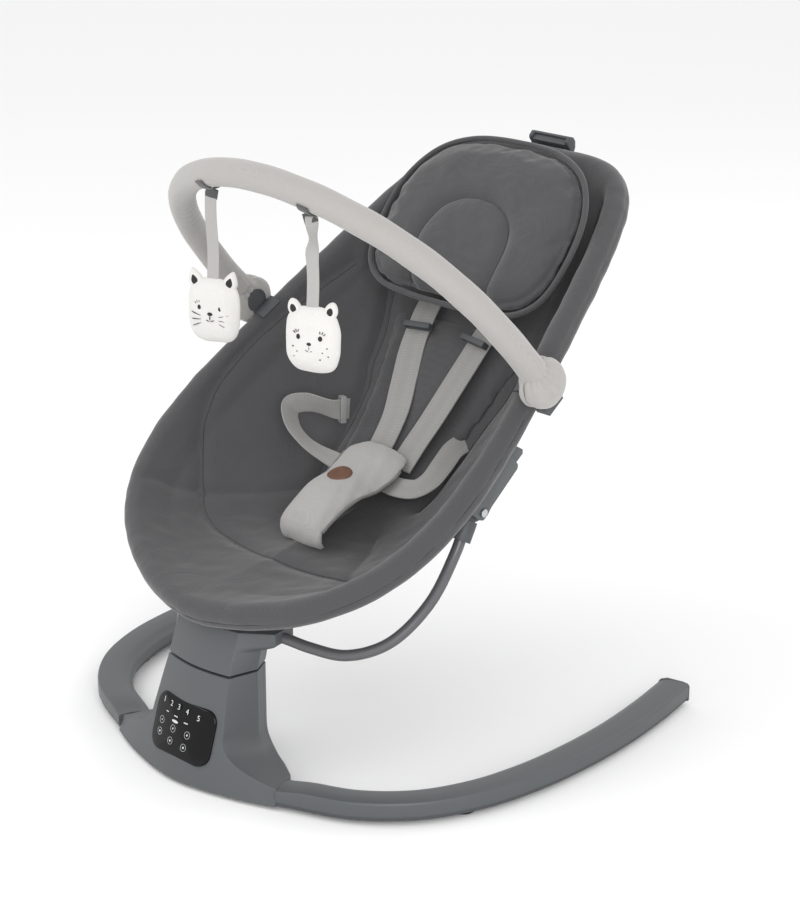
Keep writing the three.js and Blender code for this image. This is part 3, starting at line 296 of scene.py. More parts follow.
def skin(name, across, along, surface, filled=True):
    """Lays a grid primitive over surface(u, v), u and v from 0 to 1, and closes what meets."""
    bpy.ops.object.select_all(action="DESELECT")
    bpy.ops.mesh.primitive_grid_add(x_subdivisions=across, y_subdivisions=along, size=1)
    piece = bpy.context.object
    piece.name = name
    flat = np.empty(len(piece.data.vertices) * 3)
    piece.data.vertices.foreach_get("co", flat)
    flat = flat.reshape(-1, 3) + 0.5
    piece.data.vertices.foreach_set("co", np.asarray(surface(flat[:, 0], flat[:, 1])).ravel())
    piece.data.update()
    bpy.ops.object.mode_set(mode="EDIT")
    bpy.ops.mesh.select_all(action="SELECT")
    bpy.ops.mesh.remove_doubles(threshold=1e-5)
    if filled:
        bpy.ops.mesh.fill_holes(sides=0)
        bpy.ops.mesh.select_all(action="SELECT")
    bpy.ops.mesh.normals_make_consistent(inside=False)
    bpy.ops.object.mode_set(mode="OBJECT")
    bpy.ops.object.shade_smooth()
    return piece


def unit(v):
    """Vectors scaled to length one."""
    return v / np.linalg.norm(v, axis=-1, keepdims=True)


def sweep(name, path, sides, section, upright):
    """Carries section(turn, share) along path; it gives offsets sideways and upright, in metres."""
    tangent = unit(np.gradient(path, axis=0))
    across = unit(np.cross(tangent, upright))
    lift = unit(np.cross(across, tangent))
    last = len(path) - 1

    def surface(u, v):
        i = np.rint(v * last).astype(int)
        a, b = section(2 * math.pi * u, v)
        return path[i] + across[i] * np.asarray(a)[:, None] + lift[i] * np.asarray(b)[:, None]

    return skin(name, sides, last, surface)


def squared(value, power):
    """A cosine or sine raised to a power with its sign kept: below 1 it squares an oval's sides."""
    return np.sign(value) * np.abs(value) ** power


def oval(half_width, half_height, power=1.0):
    """A section for sweep, round at power 1 and flatter at its edges below that."""

    def section(a, v):
        return half_width * squared(np.cos(a), power), half_height * np.sin(a)

    return section


def stretch_uv(piece, width, length):
    """Scales the piece's own map so that it reads in metres across and along."""
    layer = piece.data.uv_layers.active.data
    flat = np.empty(len(layer) * 2)
    layer.foreach_get("uv", flat)
    layer.foreach_set("uv", (flat.reshape(-1, 2) * (width, length)).ravel())


def rides(piece, body, slot, *replaced):
    """Tells the frame which body the piece moves with, and what it stands for; slot is not used."""
    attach(piece, body)
    if replaced:
        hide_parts(*replaced)
    return piece


MM = 0.001
SEAT_FOOT = Vector((0, -0.2687, 0.193))
SEAT_SLOPE = math.radians(35.73)
TUBE_RADIUS = 0.0063
painted = moulded("dark powder coated steel", "565558", 0.3, texture_mm=1.6)


def seat_points(along, x, up):
    """Points from millimetres along the seat, sideways, and above the plane of its rim."""
    along, x, up = np.broadcast_arrays(np.asarray(along, float), x, up)
    c, s = math.cos(SEAT_SLOPE), math.sin(SEAT_SLOPE)
    return np.stack([x * MM, SEAT_FOOT.y + (along * c - up * s) * MM,
                     SEAT_FOOT.z + (along * s + up * c) * MM], axis=-1)


SEAT_UP = seat_points(0, 0, 1) - seat_points(0, 0, 0)
bracket_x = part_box("pivot_rivet_right")
bracket_x = (bracket_x[0].x + bracket_x[1].x) / 2 - 0.00035
socket_top = seat_points(241.2, 0, -39.6) + np.array([bracket_x, -0.020, -0.006])
socket_axis = unit(np.array([0, 0.49, 0.87]))
socket_low = socket_top - socket_axis * 0.021
tube_route = [(0.014, -0.221, 0.164), (0.046, -0.219, 0.1645), (0.078, -0.210, 0.163),
              (0.104, -0.199, 0.157), (0.142, -0.180, 0.1535), (0.175, -0.150, 0.168),
              (0.199, -0.113, 0.209), tuple(socket_low - socket_axis * 0.016),
              tuple(socket_low + socket_axis * 0.014)]
for side, sign in (("right", 1), ("left", -1)):
    path = spline(tube_route, 121) * (sign, 1, 1)
    tube = sweep(f"seat_tube_{side}", path, 24,
                 oval(TUBE_RADIUS, TUBE_RADIUS), np.array([0.3 * sign, 0.9, -0.3]))
    wear(tube, painted)
    rides(tube, "turret", "painted_steel", f"support_tube_{side}")
wear(frame["nodes"]["rim_tube"], painted)

# ------------------------------------------------------------------ floor base and tower
# Thin moulded shells: two legs with covers over trays, and a tower that flares into them.

edge_shape = [(-0.2325, 0.0237), (0, 0), (0.2325, 0.0237), (0.4522, 0.071), (0.669, 0.1257),
              (0.8376, 0.2186), (0.9395, 0.3388), (0.987, 0.47), (1, 0.6066), (0.99, 0.7413),
              (0.9586, 0.8743), (0.914, 1)]
HALF_WIDTH, FRONT, DEPTH = 314, -311.2, 549
edge = spline([(HALF_WIDTH * a, FRONT + DEPTH * b, 0) for a, b in edge_shape], 4001)
edge_run = np.linspace(0, 1, len(edge))
RAIL, CROWN, BOTTOM, WALL = 41, 27, 4.5, 3
seam_share = edge_run[np.argmin(np.abs(edge[:1800, 0] - 130.5))]
edge_length = np.linalg.norm(np.diff(edge, axis=0), axis=1).sum()


def edge_y(x):
    """How far forward the floor ring's outer edge is at x, in millimetres."""
    return np.interp(np.abs(x), edge[:1800, 0], edge[:1800, 1])


def front_y(x, z):
    """The tower's leaning front face above the ring's edge."""
    rise = z - BOTTOM
    return edge_y(x) + 0.29 * rise + 0.0002 * rise**2


def along_edge(share):
    """Point and inward direction of the floor ring's outer edge."""
    tangent = unit(np.gradient(edge, axis=0))
    at = [np.interp(share, edge_run, edge[:, k]) for k in (0, 1)]
    t = [np.interp(share, edge_run, tangent[:, k]) for k in (0, 1)]
    return np.stack([*at, np.zeros_like(share)], -1), np.stack([-t[1], t[0], np.zeros_like(share)], -1)


def rounded(outline, radii, steps=5):
    """A closed outline with its corners turned into arcs of about the radii."""
    points = np.array(outline, float)
    done = []
    for i, corner in enumerate(points):
        before, after = points[i - 1] - corner, points[(i + 1) % len(points)] - corner
        reach = min(radii[i], 0.49 * np.linalg.norm(before), 0.49 * np.linalg.norm(after))
        a, b = corner + unit(before) * reach, corner + unit(after) * reach
        for t in np.linspace(0, 1, steps):
            done.append(a * (1 - t) ** 2 + 2 * corner * t * (1 - t) + b * t**2)
    return np.array(done)


def leg_sweep(name, outline, start, end, steps):
    """Carries a section along the floor ring's edge, dipped a little where it meets the tower."""
    count = len(outline)
    share = np.linspace(start, end, steps + 1)
    point, inward = along_edge(share)

    def surface(u, v):
        i, k = np.rint(v * steps).astype(int), np.rint(u * count).astype(int) % count
        flat = point[i] + inward[i] * outline[k, 0][:, None]
        run = (share[i] - start) * edge_length
        dip = 3.6 * np.exp(-(run / 22) ** 2) * (outline[k, 1] - BOTTOM) / (CROWN - BOTTOM)
        flat[:, 2] = outline[k, 1] - dip * (outline[k, 1] > 15)
        return flat * MM

    return skin(name, count, steps, surface)


low = 10.3
cover_outline = rounded(
    [(0, low), (0, CROWN - 2.5), (1.2, CROWN - 0.4), (13, CROWN + 0.6), (RAIL - 10, CROWN - 0.8),
     (RAIL, CROWN - 8), (RAIL, low), (RAIL - WALL, low), (RAIL - WALL, CROWN - 10),
     (RAIL - 12, CROWN - 4), (9, CROWN - 4), (WALL, CROWN - 6), (WALL, low)],
    [0.4, 1.4, 1.4, 14, 14, 7, 0.4, 0.4, 4, 4, 2, 2, 0.4])
tray_outline = rounded(
    [(1.5, BOTTOM), (1.5, 10), (4.5, 10), (4.5, 7.5), (RAIL - 5, 7.5), (RAIL - 5, 10), (RAIL - 2, 10),
     (RAIL - 2, BOTTOM)], [3, 0.3, 0.3, 1, 1, 0.3, 0.3, 3])
start, end = seam_share + 0.4 / edge_length, 1 - 5 / edge_length
for side, sign in (("right", 1), ("left", -1)):
    for part, outline, material, slot in (("cover", cover_outline, grey_abs, "grey_plastic"),
                                          ("tray", tray_outline, dark_abs, "dark_plastic")):
        leg = leg_sweep(f"leg_{part}_{side}", outline, start, end, 110)
        if sign < 0:
            leg.data.transform(((-1, 0, 0, 0), (0, 1, 0, 0), (0, 0, 1, 0), (0, 0, 0, 1)))
            leg.data.flip_normals()
        alone(leg)
        bpy.ops.object.shade_smooth_by_angle(angle=math.radians(38))
        wear(leg, material)
        rides(leg, "base", slot, f"leg_{side}_{part}")

SHAFT_Y = -232
TOWER_TOP, FLARE_TOP, FLARE_LOW, SPLIT_Y = 124, 66, 23, -215


def blend_to(a, b, t):
    """From a to b by a share."""
    return a + (b - a) * t


def tower_plan(z):
    """Half widths and depths of the tower's corners at a height."""
    climb = np.clip((TOWER_TOP - z) / (TOWER_TOP - FLARE_TOP), 0, 1)
    sink = np.clip((FLARE_TOP - z) / (FLARE_TOP - FLARE_LOW), 0, 1)
    flare, back = sink**2.6, sink**5
    seam, inward = along_edge(np.array(seam_share))
    inner = seam + inward * RAIL
    half = (seam + inner) / 2
    front = 130.5 + inward[0] * 0.29 * (z - BOTTOM) / inward[1]
    return (blend_to(blend_to(49, 57, climb), front, flare), blend_to(57, half[0], back),
            blend_to(SHAFT_Y, half[1], back), blend_to(44, inner[0], back),
            blend_to(-208, inner[1], back), -202)


def turret_plan(z):
    """The same for the turret, whose wings open round the tubes near its top."""
    rise = np.clip((z - 127) / (154 - 127), 0, 1)
    wing = np.clip((z - 150) / 9, 0, 1)
    wing = wing * wing * (3 - 2 * wing)
    return (49 - rise, blend_to(57 + 7 * rise, 80, wing), blend_to(SHAFT_Y, -226, wing),
            blend_to(44 + 7 * rise, 74, wing), blend_to(-208, -194, wing), blend_to(-202, -190, wing))


FRONT_STEPS, SIDE_STEPS, REAR_STEPS = 40, 8, 10


def casing_ring(z, plan):
    """One level of a casing: front, right side, bowed rear, left side."""
    front, side, side_y, rear, corner_y, rear_y = plan(z)
    x = np.linspace(-front, front, FRONT_STEPS + 1)
    ring = [np.column_stack([x, front_y(x, z)])]
    right = np.array([[front, front_y(front, z)], [side, side_y], [rear, corner_y]])
    t = np.linspace(0, 1, SIDE_STEPS + 1)[1:, None]
    ring += [right[0] + (right[1] - right[0]) * t, right[1] + (right[2] - right[1]) * t]
    back = np.linspace(1, -1, REAR_STEPS + 1)[1:]
    ring.append(np.column_stack([rear * back, corner_y + (rear_y - corner_y) * (1 - back**2)]))
    left = right[::-1] * (-1, 1)
    ring += [left[0] + (left[1] - left[0]) * t, (left[1] + (left[2] - left[1]) * t)[:-1]]
    return np.vstack(ring)


def casing(name, plan, heights, lid):
    """A shell through rings at the heights, closed by a slightly domed lid."""
    rings = [np.column_stack([casing_ring(z, plan), np.full(FRONT_STEPS + 4 * SIDE_STEPS + REAR_STEPS, z)])
             for z in heights]
    centre = np.array([0, SHAFT_Y, heights[-1] + lid])
    for share in (0.97, 0.8, 0.4, 0.0):
        ring = centre + (rings[len(heights) - 1] - centre) * share
        ring[:, 2] = heights[-1] + lid * (1 - share**2)
        rings.append(ring)
    rings = np.array(rings)
    last, count = len(rings) - 1, rings.shape[1]

    def surface(u, v):
        return rings[np.rint(v * last).astype(int), np.rint(u * count).astype(int) % count] * MM

    return skin(name, count, last, surface, filled=False)


def split_shell(whole, front_name, rear_name, bevel):
    """Cuts a casing at the parting plane, thickens both halves inward and rounds the creases."""
    halves = []
    rear = bpy.data.objects.new(rear_name, whole.data.copy())
    bpy.context.scene.collection.objects.link(rear)
    whole.name = front_name
    for piece, offset, cut in ((whole, -0.15, {"clear_outer": True}), (rear, 0.15, {"clear_inner": True})):
        alone(piece)
        bpy.ops.object.mode_set(mode="EDIT")
        bpy.ops.mesh.select_all(action="SELECT")
        bpy.ops.mesh.bisect(plane_co=(0, (SPLIT_Y + offset) * MM, 0), plane_no=(0, 1, 0), **cut)
        bpy.ops.object.mode_set(mode="OBJECT")
        settle(piece, ("BEVEL", {"width": bevel, "segments": 3, "limit_method": "ANGLE",
                                 "angle_limit": math.radians(22)}),
               ("SOLIDIFY", {"thickness": WALL * MM * 0.8, "offset": -1}))
        alone(piece)
        bpy.ops.object.shade_smooth_by_angle(angle=math.radians(35))
        halves.append(wear(piece, grey_abs))
    return halves


heights = np.r_[BOTTOM, 12, 18, np.linspace(FLARE_LOW, FLARE_TOP, 26), np.linspace(72, TOWER_TOP - 1, 9),
                TOWER_TOP]
tower = casing("tower", tower_plan, heights, 0.5)
front, rear = split_shell(tower, "tower_casing_front", "tower_casing_rear", 0.0022)
rides(front, "base", "grey_plastic", "tower_front_shell")
rides(rear, "base", "grey_plastic", "tower_rear_cover")
heights = np.r_[127, 129, np.linspace(133, 149, 5), np.linspace(150, 159, 10), np.linspace(163, 172, 3), 173]
turret = casing("turret", turret_plan, heights, 0.5)
front, rear = split_shell(turret, "turret_casing_front", "turret_casing_rear", 0.0022)
rides(front, "turret", "grey_plastic", "turret_front_shell")
rides(rear, "turret", "grey_plastic", "turret_rear_shell")

for name in ("tower_base_plate", "speaker"):
    wear(frame["nodes"][name], dark_abs)
wear(frame["nodes"]["power_inlet"], rubber)
wear(frame["nodes"]["control_board"], moulded("green solder mask", "1e5a3a", 0.4))
wear(frame["nodes"]["drive_coil"], moulded("enamelled copper winding", "9a5a32", 0.35))

# ------------------------------------------------------------------ control panel
# Back-printed acrylic with a polished bevelled edge: deep black, with pale grey printed marks.

PANEL_HALF, PANEL_LOW, PANEL_HIGH, PROUD = 47.5, 27, 88, 3
acrylic = blank("gloss black acrylic")
where = node(acrylic, "ShaderNodeTexCoord").outputs["Object"]
haze = node(acrylic, "ShaderNodeTexNoise", {"Vector": where, "Scale": 40.0})
gloss = node(acrylic, "ShaderNodeMapRange", {"Value": haze.outputs[0], "To Min": 0.06, "To Max": 0.13})
tint = node(acrylic, "ShaderNodeMix", {0: haze.outputs[0], 6: linear("0d0d0f"), 7: linear("121214")},
            data_type="RGBA")
coated(acrylic, Base_Color=tint.outputs[2], Roughness=gloss.outputs[0], Specular_IOR_Level=0.2)

corners = rounded([(-PANEL_HALF, PANEL_LOW), (PANEL_HALF, PANEL_LOW), (PANEL_HALF, PANEL_HIGH),
                   (-PANEL_HALF, PANEL_HIGH)], [17] * 4, steps=9)
panel_middle = np.array([0, (PANEL_LOW + PANEL_HIGH) / 2])
panel_steps = [(0.0, -3), (0.5, -3), (0.8, -3), (1, -3), (1, 1.2), (0.995, 2.2), (0.975, 2.9),
               (0.95, PROUD), (0.8, PROUD), (0.6, PROUD), (0.4, PROUD), (0.2, PROUD), (0, PROUD)]


def on_front(x, z, out):
    """Point standing out from the tower's front face, in metres."""
    return np.stack([x, front_y(x, z) - out, z], -1) * MM


def panel_surface(u, v):
    """The panel's back, bevelled edge and face, as shrinking copies of its outline."""
    count, last = len(corners), len(panel_steps) - 1
    i, k = np.rint(v * last).astype(int), np.rint(u * count).astype(int) % count
    scale, out = np.array(panel_steps)[i].T
    flat = panel_middle + (corners[k] - panel_middle) * scale[:, None]
    return on_front(flat[:, 0], flat[:, 1], out)


panel = skin("touch_panel", len(corners), len(panel_steps) - 1, panel_surface)
alone(panel)
bpy.ops.object.shade_smooth_by_angle(angle=math.radians(50))
wear(panel, acrylic)
rides(panel, "base", "panel_gloss", "control_panel")

ink = blank("pale grey screen print")
where = node(ink, "ShaderNodeTexCoord").outputs["Object"]
speck = node(ink, "ShaderNodeTexNoise", {"Vector": where, "Scale": 900.0})
tint = node(ink, "ShaderNodeMix", {0: speck.outputs[0], 6: linear("b9bbbd"), 7: linear("d6d8da")},
            data_type="RGBA")
coated(ink, Base_Color=tint.outputs[2], Roughness=0.5)

prints = []


def printed(x, z, scale=1.0):
    """Lays the active flat mark on the panel's face, at x and z in millimetres."""
    mark = bpy.context.object
    bpy.ops.object.convert(target="MESH")
    flat = np.array([v.co[:] for v in mark.data.vertices]) * scale
    placed = on_front(flat[:, 0] + x, flat[:, 1] + z, PROUD + 0.12)
    mark.location = (0, 0, 0)
    mark.data.vertices.foreach_set("co", placed.ravel())
    settle(mark, ("SOLIDIFY", {"thickness": 0.0002, "offset": 0}))
    prints.append(wear(mark, ink))


def ring_mark(radius, width):
    """A thin printed circle."""
    bpy.ops.mesh.primitive_circle_add(vertices=32, radius=radius, fill_type="NGON")
    bpy.ops.object.mode_set(mode="EDIT")
    bpy.ops.mesh.inset(thickness=width)
    bpy.ops.mesh.delete(type="FACE")
    bpy.ops.object.mode_set(mode="OBJECT")


for number, x, z in ((1, -33, 80.5), (2, -19, 80.5), (3, -6, 80.5), (4, 8, 79.5), (5, 25, 77)):
    bpy.ops.object.select_all(action="DESELECT")
    bpy.ops.object.text_add()
    bpy.context.object.data.body = str(number)
    bpy.context.object.data.align_x = "CENTER"
    bpy.context.object.data.align_y = "CENTER"
    bpy.context.object.data.extrude = 0
    printed(x, z, 8.5)
for x, z, width in ((-24, 70.5, 4), (-8, 70, 6), (9, 67.5, 6)):
    bpy.ops.object.select_all(action="DESELECT")
    bpy.ops.mesh.primitive_grid_add(x_subdivisions=6, y_subdivisions=1, size=1)
    bpy.context.object.data.transform(((width, 0, 0, 0), (0, 1.1, 0, 0), (0, 0, 1, 0), (0, 0, 0, 1)))
    printed(x, z)
bpy.ops.object.select_all(action="DESELECT")
bpy.ops.mesh.primitive_circle_add(vertices=24, radius=1, fill_type="NGON")
bpy.context.object.data.transform(((5.2, 0, 0, 0), (0, 1.5, 0, 0), (0, 0, 1, 0), (0, 0, 0, 1)))
printed(-8, 64.5)
for index, (x, z) in enumerate(((-31, 59), (-9, 56.5), (14, 56), (-31, 46.5), (-10, 43), (12, 42))):
    bpy.ops.object.select_all(action="DESELECT")
    ring_mark(4.0, 0.28)
    printed(x, z)
    bpy.ops.object.select_all(action="DESELECT")
    bpy.ops.mesh.primitive_circle_add(vertices=3 + index, radius=1.25, fill_type="NGON")
    printed(x, z)
alone(*prints)
bpy.ops.object.join()
marks = bpy.context.object
marks.name = "panel_marks"
rides(marks, "base", "panel_gloss")

# ------------------------------------------------------------------ seat shell
# Woven polyester over foam, sewn from panels and pulled over the rim tube, which it wraps
# as a soft roll; channel seams shape the lap, the side bolsters and the foot end.

THREAD_SPACING = 0.00055


def woven(name, colour, sheen=0.25, fold=0.55, thread=THREAD_SPACING):
    """Plain weave of slightly uneven yarns, softly creased; thread is the yarn spacing in metres."""
    cloth = blank(name)
    place = node(cloth, "ShaderNodeTexCoord").outputs["Object"]
    turned = node(cloth, "ShaderNodeMapping", {"Vector": place, "Rotation": (SEAT_SLOPE, 0, 0)}).outputs[0]
    wave = {"Vector": turned, "Scale": math.pi / 10 / (2 * thread), "Distortion": 0.4}
    warp = node(cloth, "ShaderNodeTexWave", wave, bands_direction="X")
    weft = node(cloth, "ShaderNodeTexWave", wave, bands_direction="Y")
    yarns = node(cloth, "ShaderNodeMath", {0: warp.outputs["Fac"], 1: weft.outputs["Fac"]},
                 operation="MULTIPLY").outputs[0]
    flecks = node(cloth, "ShaderNodeTexNoise", {"Vector": turned, "Scale": 520.0, "Detail": 2.0}).outputs[0]
    clouds = node(cloth, "ShaderNodeTexNoise", {"Vector": place, "Scale": 7.0, "Detail": 4.0}).outputs[0]
    creases = node(cloth, "ShaderNodeTexNoise", {"Vector": place, "Scale": 22.0, "Detail": 5.0,
                                                 "Roughness": 0.55, "Distortion": 0.9}).outputs[0]
    base = linear(colour)
    low, high = [tuple(c * k for c in base[:3]) + (1.0,) for k in (0.86, 1.14)]
    mixed = node(cloth, "ShaderNodeMath", {0: flecks, 1: yarns}, operation="ADD").outputs[0]
    half = node(cloth, "ShaderNodeMath", {0: mixed, 1: 0.5}, operation="MULTIPLY").outputs[0]
    yarn = node(cloth, "ShaderNodeMix", {0: half, 6: low, 7: high}, data_type="RGBA").outputs[2]
    dull = tuple(c * 0.92 for c in base[:3]) + (1.0,)
    patchy = node(cloth, "ShaderNodeMath", {0: clouds, 1: 0.35}, operation="MULTIPLY").outputs[0]
    tone = node(cloth, "ShaderNodeMix", {0: patchy, 6: yarn, 7: dull}, data_type="RGBA").outputs[2]
    soft = node(cloth, "ShaderNodeBump", {"Height": creases, "Strength": fold, "Distance": 0.004}).outputs[0]
    relief = node(cloth, "ShaderNodeBump", {"Height": yarns, "Strength": 0.35, "Distance": 0.0002,
                                            "Normal": soft}).outputs[0]
    return coated(cloth, Base_Color=tone, Roughness=0.86, Normal=relief,
                  Sheen_Weight=sheen, Sheen_Roughness=0.5)


seat_cloth = woven("charcoal woven polyester", "444446")
# The seam threads stand for the stitching, and are coloured darker than the cloth as painted shade in the
# seams' grooves.
seam_thread_painted_shade = woven("charcoal sewing thread darkened as painted seam shade", "2e2e30", fold=0.0)

LENGTH, DEEPEST, DROP, ROLL = 690, 236, 105, 15
table_t = np.linspace(0, 1, 6001)
table_a = np.pi * (table_t - np.sin(2 * np.pi * table_t) / (2 * np.pi))


def rim_flat(angle):
    """Rim outline in the seat's plane: millimetres along from the foot, and sideways."""
    t = (1 - np.cos(angle)) / 2
    end = 2 * t - 1
    half = 210.7 - 57.4 * end + 50.9 * end**2
    x = np.sign(np.sin(angle)) * half * np.abs(np.sin(angle)) ** (1.2 + (0.46 - 1.2) * t)
    return np.stack([LENGTH * t, x], -1)


outline = rim_flat(table_a)
outline_run = np.r_[0, np.cumsum(np.linalg.norm(np.diff(outline, axis=0), axis=1))]
outline_run /= outline_run[-1]


def rim_at(turn):
    """Rim point and outward direction for a share of the way round, 0 and 1 at the foot."""
    turn = np.asarray(turn, float) % 1.0
    half = np.where(turn <= 0.5, turn, 1 - turn) * 2
    side = np.where(turn <= 0.5, 1.0, -1.0)
    at = np.stack([np.interp(half, outline_run, outline[:, k]) for k in (0, 1)], -1)
    step = 0.004
    ahead, behind = [np.stack([np.interp(np.clip(half + d, 0, 1), outline_run, outline[:, k])
                               for k in (0, 1)], -1) for d in (step, -step)]
    way = unit(ahead - behind)
    out = np.stack([-way[:, 1], way[:, 0]], -1)
    ends = (half < step) | (half > 1 - step)
    out[ends] = unit(np.stack([np.where(half < 0.5, -1.0, 1.0), 0.02 * np.ones_like(half)], -1))[ends]
    return at * np.stack([np.ones_like(side), side], -1), out * np.stack([np.ones_like(side), side], -1)


def bowl_power(at):
    """How square the bowl's section is: nearly a cone at the foot, flat-floored at the sides."""
    t = at[:, 0] / LENGTH
    sine = np.sqrt(np.clip(1 - (1 - 2 * t) ** 2, 0, 1))
    return 1.05 + 0.35 * t + 1.9 * sine**1.5


def roll_point(turn, angle, radius):
    """Point on the soft roll round the rim tube; angle 0 faces outward, 90 degrees up."""
    at, out = rim_at(turn)
    flat = at + out * (radius * np.cos(angle))[:, None]
    return seat_points(flat[:, 0], flat[:, 1], radius * np.sin(angle))


def fluffed(share):
    """A share from the bowl's middle, rounded off at 0 so that the middle has no point."""
    return (np.sqrt(share**2 + 0.0025) - 0.05) / (math.sqrt(1.0025) - 0.05)


BOWL_SHARE, ROLL_SHARE, UNDER_SHARE = 0.62, 0.18, 0.2
ROLL_END, ROLL_END_RADIUS, SHELL_THICK = math.radians(148), 17, 9


def seat_shell(u, v):
    """The bowl, the roll that it meets tangent, and the underside, from the middle out and back."""
    at, out = rim_at(u)
    power = bowl_power(at)
    contact = np.pi / 2 + np.arctan(power * DROP / np.linalg.norm(at - (DEEPEST, 0), axis=1))
    inner = at + out * (ROLL * np.cos(contact))[:, None]
    lip = ROLL * np.sin(contact)
    bowl = np.clip(v / BOWL_SHARE, 0, 1)
    flat = np.array([DEEPEST, 0]) + (inner - (DEEPEST, 0)) * bowl[:, None]
    result = seat_points(flat[:, 0], flat[:, 1], lip - (DROP + lip) * (1 - fluffed(bowl) ** power))
    around = np.clip((v - BOWL_SHARE) / ROLL_SHARE, 0, 1)
    radius = ROLL + (ROLL_END_RADIUS - ROLL) * around**3
    rolled = roll_point(u, contact - around * (contact + ROLL_END), radius)
    on_roll = (v > BOWL_SHARE) & (v <= 1 - UNDER_SHARE)
    result[on_roll] = rolled[on_roll]
    under = np.clip((1 - v) / UNDER_SHARE, 0, 1)
    edge_at = at + out * (ROLL_END_RADIUS * math.cos(ROLL_END))
    flat = np.array([DEEPEST, 0]) + (edge_at - (DEEPEST, 0)) * under[:, None]
    depth = (DROP + SHELL_THICK) * (1 - under**power) + SHELL_THICK * under
    below = v > 1 - UNDER_SHARE
    result[below] = seat_points(flat[:, 0], flat[:, 1], -depth)[below]
    return result


shell = skin("seat_shell", 430, 150, seat_shell, filled=False)


def heights_on(piece, along, x):
    """Height of the piece's surface above the seat's plane, in millimetres."""
    tree = BVHTree.FromObject(piece, bpy.context.evaluated_depsgraph_get())
    up = Vector(SEAT_UP).normalized()
    found = []
    for a, b in np.broadcast(along, x):
        above = Vector(seat_points(a, b, 150))
        distance = tree.ray_cast(above, -up)[3]
        found.append(150 - distance / MM if distance else 0.0)
    return np.array(found).reshape(np.broadcast(along, x).shape)


grid_along, grid_side = np.linspace(236, 490, 64), np.linspace(-125, 125, 40)
seat_height = heights_on(shell, *np.meshgrid(grid_along, grid_side, indexing="ij"))


def on_seat(flat, extra):
    """Height of the seat's own surface at (along, x), plus some."""
    i = np.interp(flat[:, 0], grid_along, np.arange(64.0)).clip(0, 62.999)
    j = np.interp(flat[:, 1], grid_side, np.arange(40.0)).clip(0, 38.999)
    a, b = i.astype(int), j.astype(int)
    s, t = i - a, j - b
    return (seat_height[a, b] * (1 - s) * (1 - t) + seat_height[a + 1, b] * s * (1 - t)
            + seat_height[a, b + 1] * (1 - s) * t + seat_height[a + 1, b + 1] * s * t) + extra



def smooth_noise(points, scale, seed):
    """Smooth random values, about -1 to 1: crossed sine waves of fixed random direction."""
    random = np.random.default_rng(seed)
    total = np.zeros(len(points))
    for _ in range(9):
        way = random.normal(size=3)
        total += np.sin(points @ way * scale + random.uniform(0, 6.28))
    return total / 4


def vertices_of(piece):
    """The piece's points, one row each."""
    flat = np.empty(len(piece.data.vertices) * 3)
    piece.data.vertices.foreach_get("co", flat)
    return flat.reshape(-1, 3)


def normals_of(piece):
    """The piece's outward directions, one row for each point."""
    flat = np.empty(len(piece.data.vertices) * 3)
    piece.data.vertices.foreach_get("normal", flat)
    return flat.reshape(-1, 3)


def press(piece, amount):
    """Moves each vertex along its normal by its amount in metres."""
    moved = vertices_of(piece) + normals_of(piece) * np.asarray(amount)[:, None]
    piece.data.vertices.foreach_set("co", moved.ravel())
    piece.data.update()


def distance_to(piece, path):
    """Metres from each of the piece's points to the nearest one of a path."""
    tree = KDTree(len(path))
    for i, point in enumerate(path):
        tree.insert(point, i)
    tree.balance()
    return np.array([tree.find(point)[2] for point in vertices_of(piece)])


def laid(piece, route, count, lift=0.0, closed=False):
    """Drops a route of (along, x) millimetres onto the piece, square to the seat's plane."""
    tree = BVHTree.FromObject(piece, bpy.context.evaluated_depsgraph_get())
    down = -Vector(SEAT_UP).normalized()
    placed = []
    for along, x in spline(route, count, closed):
        above = Vector(seat_points(along, x, 120))
        hit, normal = tree.ray_cast(above, down)[:2]
        if hit is not None:
            placed.append(hit - down * lift)
    return np.array([p[:] for p in placed])


def thread_along(name, path, radius, material, sides=6):
    """A thin tube along a seam's path."""
    return wear(sweep(name, path, sides, oval(radius, radius), SEAT_UP), material)


def mirrored(route):
    """The same route on the other side of the seat."""
    return [(along, -x) for along, x in route]


lap_half = [(488, 160), (405, 183), (340, 197), (294, 203), (254, 203), (218, 196), (192, 183), (138, 143),
            (119, 110), (113, 75), (107, 0)]
lap_seam = lap_half + mirrored(lap_half[:-1])[::-1]
back_channel = [(640, 118), (560, 128), (484, 120), (443, 110), (400, 104), (377, 96), (311, 87), (270, 84),
                (250, 78)]
foot_left = [(122, -190), (149, -157), (178, -132), (218, -95), (245, -60)]
foot_right = [(84, 143), (100, 125), (136, 92), (165, 75), (198, 55)]
seams = [laid(shell, lap_seam, 420), laid(shell, back_channel, 160), laid(shell, mirrored(back_channel), 160)]
folds = [laid(shell, foot_left, 70), laid(shell, foot_right, 60)]
turn = np.linspace(0, 1, 700, endpoint=False)
band_turn = np.linspace(0.03, 0.97, 360)
band_at, band_out = rim_at(band_turn)
BAND_INSIDE = 34
band = laid(shell, (band_at - band_out * BAND_INSIDE)[::6], 400)
SEAM_ANGLE = math.radians(8)
outer_seam = roll_point(turn, np.full(700, SEAM_ANGLE), ROLL)

